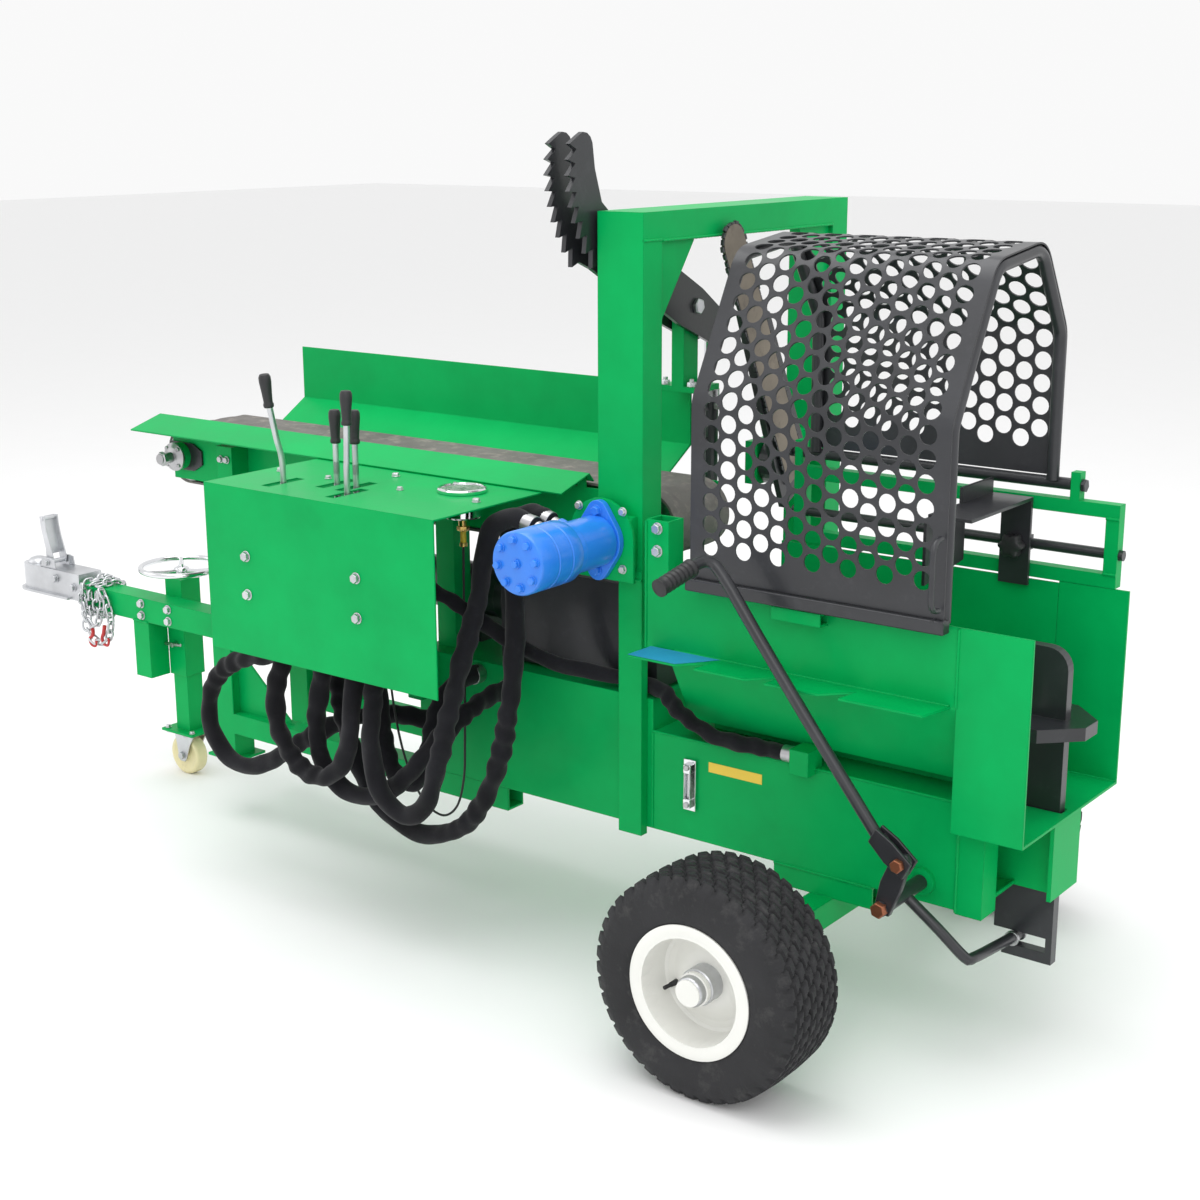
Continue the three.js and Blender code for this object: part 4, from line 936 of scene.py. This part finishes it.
def lift_lever():
    """The cranked shaft, its link plates and pins, and the long handle with a ribbed grip."""
    x, y, z = LEVER_X, LEVER_Y, LEVER_Z
    pin_x, joint = x + 117, (x + 34, z + 91)
    crank = smooth_path([(x, -216, z - 4), (x + 62, -210, z - 52), (x + 112, -198, z - 99),
                         (x + 120, -180, z - 104), (pin_x + 2, -90, PIN_Z + 12), (pin_x, 0, PIN_Z),
                         (pin_x, 20, PIN_Z)], 8)
    handle = smooth_path([(x - 10, y, z + 122), (x - 90, y, z + 222), (x - 170, y, z + 322),
                          (x - 255, y, z + 431), (x - 338, y, z + 539), (x - 361, y - 5, z + 561),
                          (x - 373, y - 26, z + 562), (x - 378, y - 72, z + 550),
                          (x - 384, y - 118, z + 538)], 6)
    shaft = rod((x, y - 10, z), (x, -158.3, z), 14, 28)
    piece("lift_lever_rods", [tube(crank, 10, 18), tube(handle, 11, 20), shaft], BLACK,
          body="lift_lever", replaces="wedge_lever")
    link = [(x - 16, z - 10), (x + 15, z - 12), (x + 36, z + 40), (x + 52, z + 96),
            (x + 44, z + 108), (x + 20, z + 106), (x - 4, z + 50)]
    fork = [(x + 6, z + 88), (x + 42, z + 66), (x + 58, z + 96), (x + 20, z + 128),
            (x - 12, z + 146), (x - 26, z + 120)]
    web = [(x - 12, z + 108), (x + 14, z + 112), (x - 4, z + 134), (x - 22, z + 124)]
    plates = [prism("xz", outline, y + a, y + b) for outline, a, b in
              ((link, -6, 6), (fork, -14, -7.5), (fork, 7.5, 14), (web, -9, 9))]
    piece("lift_lever_plates", plates, BLACK, body="lift_lever", bevel=1.6)
    head = (joint[0], y - 14, joint[1])
    pins = [(hexagon(head, NEAR, 22, 11), COPPER),
            (rod(head, (joint[0], y + 20, joint[1]), 9, 24), COPPER),
            (hexagon((x, y - 7, z), NEAR, 26, 14), COPPER)]
    for a, b in ((12, 19.5), (-19.5, -12.5)):
        pins.append((rod((pin_x, a, PIN_Z), (pin_x, b, PIN_Z), 14, 28), STEEL))
    piece("lift_lever_pins", pins, COPPER, body="lift_lever", bevel=0.8)
    start = Vector((x - 375, y - 42, z + 557.9))
    way = (Vector((x - 385.4, y - 130, z + 534.9)) - start).normalized()
    grip = [(11.6, 0), (15, 0), (17, 2), (17, 7), (14.5, 10)]
    for along_grip in range(12, 78, 11):
        grip += [(14.4, along_grip), (16.2, along_grip + 4), (16.2, along_grip + 7),
                 (14.4, along_grip + 10.5)]
    grip += [(16.5, 84), (16.5, 89), (12, 91), (0, 91.3)]
    piece("lift_lever_grip", [lathe(grip, start, way, 32)], PLASTIC, body="lift_lever",
          replaces="lever_grip", angle=50)


lift_lever()


# ---------- log stop knob ----------
def stop_knob():
    """A six-lobed knob on its screw."""
    x, z, sides = 195, 865, 72
    rings = [(0.25, 158.6), (0.8, 158), (0.97, 160), (1, 164), (1, 178), (0.95, 182), (0.6, 183.5)]
    points = []
    for size, y in rings:
        for k in range(sides):
            turn = 2 * math.pi * k / sides
            r = (21 + 2.8 * math.cos(6 * turn)) * size
            points.append((x + r * math.cos(turn), y, z + r * math.sin(turn)))
    shapes = [(points, grid_faces(len(rings), sides)), rod((x, 182, z), (x, 199.5, z), 5, 20)]
    piece("stop_knob_lobed", shapes, PLASTIC, body="stop_knob", replaces="stop_knob", angle=50)


stop_knob()


# ---------- saw ----------
SAW = {"x": -381.5, "y": 340.0, "z": 930.0, "reach": 560.0, "rise": math.radians(63)}
CHAIN_PITCH, CHAIN_HALF = 12, 37.5


def saw_point(d, s):
    """The (y, z) at distance d along the bar and s across it."""
    c, k = math.cos(SAW["rise"]), math.sin(SAW["rise"])
    return SAW["y"] - d * c - s * k, SAW["z"] + d * k - s * c


def saw_chain():
    """Links and cutters round the bar's edge, and bolts on the arm."""
    nose = SAW["reach"] - 36
    straight = [CHAIN_PITCH * k for k in range(int(nose / CHAIN_PITCH))]
    edge = [saw_point(d, -CHAIN_HALF) for d in straight]
    edge += [saw_point(nose + CHAIN_HALF * math.cos(t), CHAIN_HALF * math.sin(t))
             for t in (math.radians(-90 + 20 * k) for k in range(10))]
    edge += [saw_point(d, CHAIN_HALF) for d in reversed(straight)]
    x = SAW["x"]
    centre = Vector((x, *saw_point(SAW["reach"] / 2, 0)))
    shapes = []
    for k, (a, b) in enumerate(zip(edge, edge[1:])):
        way = Vector((0, b[0] - a[0], b[1] - a[1])).normalized()
        out = Vector((0, way.z, -way.y))
        mid = Vector((x, (a[0] + b[0]) / 2, (a[1] + b[1]) / 2))
        if (mid - centre).dot(out) < 0:
            out = -out
        tall = 4.5 if k % 3 == 0 else 2.2
        for lift, half in ((0, 2.6), (tall * 0.5, 3.2)):
            ring = [mid + out * level + Vector((half * sx, 0, 0)) + way * 5.2 * sy
                    for level in (lift - 2, lift + tall * 0.6)
                    for sx, sy in ((-1, -1), (1, -1), (1, 1), (-1, 1))]
            shapes.append((ring, grid_faces(2, 4)))
    piece("saw_chain", shapes, BLACK, body="saw", slot="zinc", angle=30)
    bolts = []
    for d, s in ((60, 0), (150, -22), (150, 22), (300, 0)):
        bolts += bolt((-398.5, *saw_point(d, s)), (-1, 0, 0), 13)
    piece("saw_arm_bolts", bolts, ZINC, body="saw", bevel=0.5)


saw_chain()


# ---------- clamp ----------
def clamp_details():
    """The arm's pivot pin, the rod's pin, and the cylinder's gland and hose ports."""
    x, pivot, rod_pin = -543, (175, 1262), (262, 1215)
    pins = [rod((x - 36, *pivot), (x + 36, *pivot), 12, 28)]
    for spot, r in ((pivot, 12), (rod_pin, 9)):
        for side in (-1, 1):
            pins.append(hexagon((x + side * 29.3, *spot), (side, 0, 0), r * 2.4, 9))
    piece("clamp_pins", pins, ZINC, body="clamp", bevel=0.8)
    piece("clamp_rod_pin", [rod((x - 14.6, *rod_pin), (x + 14.6, *rod_pin), 9, 24)], ZINC,
          body="clamp_rod", bevel=0.8)
    gland = [lathe([(22, -26), (24, -24), (24, -4), (21, 0), (11, 0), (11, -26)],
                   (x, rod_pin[0], 1086), UP, 40, closed=True)]
    gland += [hexagon((x + 20, rod_pin[0], z), (1, 0, 0), 19, 12) for z in (1050, 880)]
    piece("clamp_cylinder_gland", gland, STEEL, bevel=0.6)


clamp_details()


# ---------- hitch ----------
def link_shape(centre, way, flat, length):
    """One welded chain link lying along way, with its flat side given."""
    width, wire, steps, sides = 22, 3.3, 20, 8
    centre, way = Vector(centre), Vector(way).normalized()
    across = (Vector(flat) - way * Vector(flat).dot(way)).normalized()
    normal = way.cross(across)
    half, r = (length - width) / 2, (width - wire) / 2
    points = []
    for k in range(steps):
        turn = 2 * math.pi * k / steps
        shift = half if math.cos(turn) > 0 else -half
        p = centre + way * (shift + r * math.cos(turn)) + across * r * math.sin(turn)
        out = (p - centre).normalized()
        for j in range(sides):
            lean = 2 * math.pi * j / sides
            points.append(p + (out * math.cos(lean) + normal * math.sin(lean)) * wire)
    return points, grid_faces(steps, sides, loop=True)


def chain_along(route, start_turn, length):
    """Links along a route, each a quarter turn from the one before."""
    path = smooth_path(route, 2)
    pitch = length - 9
    gone, last, out = 0.0, path[0], []
    for a, b in zip(path, path[1:]):
        gone += (b - a).length
        if gone >= pitch:
            gone -= pitch
            way = b - last
            side = way.cross(Vector((0.25, 1, 0.1))).normalized()
            flat = Quaternion(way.normalized(), start_turn + len(out) * math.pi / 2) @ side
            out.append(link_shape((b + last) / 2, way, flat, length))
            last = b
    return out


def safety_chain():
    """Three turns round the tongue, two hanging ends and their red hooks."""
    y, zc = -45, 445
    shapes = []
    for k, x in enumerate((-2215, -2190, -2165)):
        ring = [(x, y - 38, zc + 38), (x + 3, y, zc + 42), (x, y + 38, zc + 38), (x - 2, y + 42, zc),
                (x, y + 38, zc - 38), (x + 3, y, zc - 42), (x, y - 38, zc - 38), (x - 2, y - 42, zc),
                (x, y - 38, zc + 38)]
        shapes += chain_along(ring, k * 0.7, 30)
    near = y - 44
    shapes += chain_along([(-2212, near, 410), (-2206, near - 4, 372), (-2180, near - 6, 343),
                           (-2150, near - 4, 338), (-2122, near - 2, 356), (-2112, near, 396),
                           (-2122, near + 2, 440), (-2150, near, 486)], 0.4, 32)
    shapes += chain_along([(-2222, near + 2, 480), (-2214, near - 6, 440), (-2196, near - 8, 400),
                           (-2176, near - 6, 376), (-2150, near - 6, 400), (-2140, near, 450),
                           (-2150, near + 2, 488)], 0.1, 32)
    hooks = []
    for hx, hz, lean in ((-2178, 352, 0.2), (-2128, 362, -0.5)):
        hook = [(hx, near - 8, hz + 26), (hx + 10 * lean, near - 9, hz + 6), (hx - 12, near - 9, hz - 8),
                (hx - 6, near - 9, hz - 22), (hx + 8, near - 9, hz - 24), (hx + 14, near - 9, hz - 12),
                (hx + 12, near - 9, hz - 4)]
        path = smooth_path(hook, 2)
        count = len(path)
        hooks.append((tube(path, lambda i, angle, n=count: 5.2 * (1 - 0.45 * i / n), 14), RED))
    piece("safety_chain_links", shapes + hooks, ZINC, replaces="safety_chain", angle=60)


def coupler_details():
    """The coupler's cheeks, bolt and ball cup, and the channel of its latch lever."""
    y = -45
    cheek = [(-2402, 500), (-2340, 500), (-2344, 524), (-2392, 527)]
    shapes = [prism("xz", cheek, y - 31.5, y - 28), prism("xz", cheek, y + 28, y + 31.5)]
    shapes += bolt((-2372, y - 31.5, 514), NEAR, 13)
    shapes.append(lathe([(0, 0), (27, 0), (26, 5), (20, 11), (11, 14), (0, 15)], (-2452, y, 499.6),
                        UP, 40))
    piece("coupler_details", shapes, ZINC, bevel=0.8, angle=50)
    lever = [(-2384, 504), (-2364, 506), (-2359, 524), (-2366, 548), (-2375, 574), (-2382, 602),
             (-2385, 632), (-2404, 630), (-2401, 600), (-2394, 572), (-2388, 548), (-2388, 526)]
    back = [(-2388, 530), (-2386, 560), (-2400, 630), (-2404, 630), (-2397, 572), (-2391, 546)]
    latch = [prism("xz", lever, y - 22, y - 18.5), prism("xz", lever, y + 18.5, y + 22),
             prism("xz", back, y - 19, y + 19),
             rod((-2372, y - 24, 514), (-2372, y + 24, 514), 6, 20),
             rod((-2394, y - 25, 625), (-2394, y + 25, 625), 5, 18)]
    piece("coupler_latch_channel", latch, ZINC, body="latch", replaces="coupler_latch", bevel=0.8)


safety_chain()
coupler_details()


# ---------- jack and caster ----------
JACK_X, JACK_Y = -1953, 15.3


def jack_handwheel():
    """The rim, three spokes, hub, screw and crank, and the tube's T-headed lock screw."""
    x, y, top = JACK_X, JACK_Y, 520
    ring = [(x + 100 * math.cos(t), y + 100 * math.sin(t), top + 25)
            for t in (2 * math.pi * k / 72 for k in range(73))]
    shapes = [tube(ring, 7, 16)]
    for turn in (20, 140, 260):
        spoke = [(*spot_on(x, y, r, turn), top + lift) for r, lift in ((14, 16), (50, 18), (97, 25))]
        shapes.append(tube(smooth_path(spoke, 6), 5.6, 14))
    hub = [(0, 0.4), (19, 0.4), (19, 20), (17, 24), (10, 27), (0, 28)]
    shapes += [lathe(hub, (x, y, top), UP, 40), rod((x, y, top + 27), (x, y, top + 33), 7, 24),
               rod((x, y, 230), (x, y, top + 1), 10, 24)]
    piece("jack_handwheel_rim", shapes, CHROME, body="jack_handwheel", replaces="jack_handwheel",
          angle=50)
    u, v = x + 72, y + 69
    crank = [rod((u, v, top + 24), (u, v, top + 124), 5.5, 20),
             rod((u, v, top + 48), (u, v, top + 122), 8.5, 24, 7.5)]
    piece("jack_handwheel_crank", crank, CHROME, body="jack_handwheel", bevel=0.8)
    lock = [rod((x - 34, y - 30, 330), (x - 34, y - 30, 331), 3, 8),
            rod((x, y - 30.3, 352), (x, y - 48, 352), 6, 20),
            rod((x - 26, y - 44, 352), (x + 30, y - 44, 356), 4, 16)]
    piece("jack_lock_screw", lock, STEEL, bevel=0.5)


def caster():
    """A nylon wheel in a pressed fork with its brake pedal, bolted to the leg's plate."""
    x, y, axle_z = JACK_X - 12, JACK_Y, 52
    half = [(7.6, 17), (14, 17), (15, 14), (26, 12.5), (36, 14), (41, 16.5), (46, 17),
            (50.5, 14.5), (52, 10)]
    wheel = [(r, -t) for r, t in half] + half[::-1]
    piece("caster_wheel_tread", [lathe(wheel, (x, y, axle_z), FAR, 56, closed=True)], NYLON,
          body="caster_wheel", replaces="caster_wheel", angle=45)
    shapes = [box(JACK_X - 40, JACK_X + 40, y - 34, y + 34, 112.5, 117.7),
              lathe([(0, 0), (30, 0), (30, -5), (24, -10), (0, -10)], (JACK_X, y, 112.6), UP, 40)]
    leg = [(x - 13, 40), (x - 8, 36), (x + 8, 36), (x + 13, 42), (x + 30, 84), (x + 44, 106),
           (x - 26, 106), (x - 20, 84)]
    shapes += [prism("xz", leg, y + side - 2.2, y + side + 2.2) for side in (-22, 22)]
    shapes.append(rod((x, y - 27, axle_z), (x, y + 27, axle_z), 6.8, 24))
    shapes += [hexagon((x, y + side * 24, axle_z), (0, side, 0), 17, 8) for side in (-1, 1)]
    pedal = [(x - 62, 99), (x - 22, 104), (x - 20, 110), (x - 58, 112), (x - 68, 104)]
    shapes.append(prism("xz", pedal, y - 18, y + 18))
    piece("caster_fork_pressed", shapes, ZINC, body="caster_fork", replaces="caster_fork", bevel=1)
    screws = bolt_rows([((JACK_X - 45, JACK_X + 45), (y - 36, y + 36), (124,), UP, 11)])
    piece("caster_plate_bolts", screws, ZINC, body="jack_leg", bevel=0.4)


jack_handwheel()
caster()


# ---------- ram cylinder ----------
def cylinder_details():
    """The barrel's clamp band and its two ports."""
    z = 645
    band = [(55.2, 0), (60, 1), (60, 24), (55.2, 25)]
    shapes = [(lathe(band, (-870, 0, z), (1, 0, 0), 56, closed=True), BLACK)]
    for x in (-1515, -885):
        shapes.append((rod((x, 0, z + 52), (x, 0, z + 78), 15, 28), BLACK))
        shapes.append((hexagon((x, 0, z + 78), UP, 27, 12), STEEL))
    piece("cylinder_fittings", shapes, BLACK, bevel=0.8)


cylinder_details()


# ---------- materials on the CAD nodes that stay ----------
for node, body_object in NODES.items():
    look = BY_SLOT[SLOT_OF[node]]
    mesh_data = body_object.data
    mesh_data.materials.clear()
    mesh_data.materials.append(look)
    mesh_data.shade_smooth()
    mesh_data.set_sharp_from_angle(angle=math.radians(28))
for node in ("drive_roller", "idler_roller"):
    NODES[node].data.materials[0] = STEEL
NODES["saw_bar"].data.materials[0] = BAR_STEEL


# ---------- studio ----------
LIGHTS = {"key": ((2600, -4200, 4200), 3.2, 60), "side": ((4200, 1200, 3000), 3.0, 20),
          "top": ((-1000, -600, 5200), 4.5, 150), "left": ((-5200, -2600, 2600), 3.0, 20)}
LIGHTS_AIM = (-700, 0, 700)


def studio():
    """A pale floor, a white world and four soft area lights."""
    bpy.ops.mesh.primitive_plane_add(size=60, location=(AXLE.x, 0, 0))
    floor = bpy.context.object
    floor.name = "floor"
    floor.data.materials.append(finish("floor_white", (0.9, 0.9, 0.9), 0.7, spread=0.004, grain=3,
                                       bump=0.0, rough_spread=0.02))
    world = bpy.data.worlds.new("studio")
    world.use_nodes = True
    world.node_tree.nodes["Background"].inputs["Color"].default_value = (1, 1, 1, 1)
    world.node_tree.nodes["Background"].inputs["Strength"].default_value = 0.95
    bpy.context.scene.world = world
    for name, (place, size, power) in LIGHTS.items():
        data = bpy.data.lights.new(name, "AREA")
        data.size = size
        data.energy = power
        lamp = bpy.data.objects.new(name, data)
        bpy.context.scene.collection.objects.link(lamp)
        lamp.location = at(*place)
        lamp.rotation_mode = "QUATERNION"
        lamp.rotation_quaternion = (at(*LIGHTS_AIM) - lamp.location).to_track_quat("-Z", "Y")
    bpy.context.scene.view_settings.view_transform = "Standard"


studio()
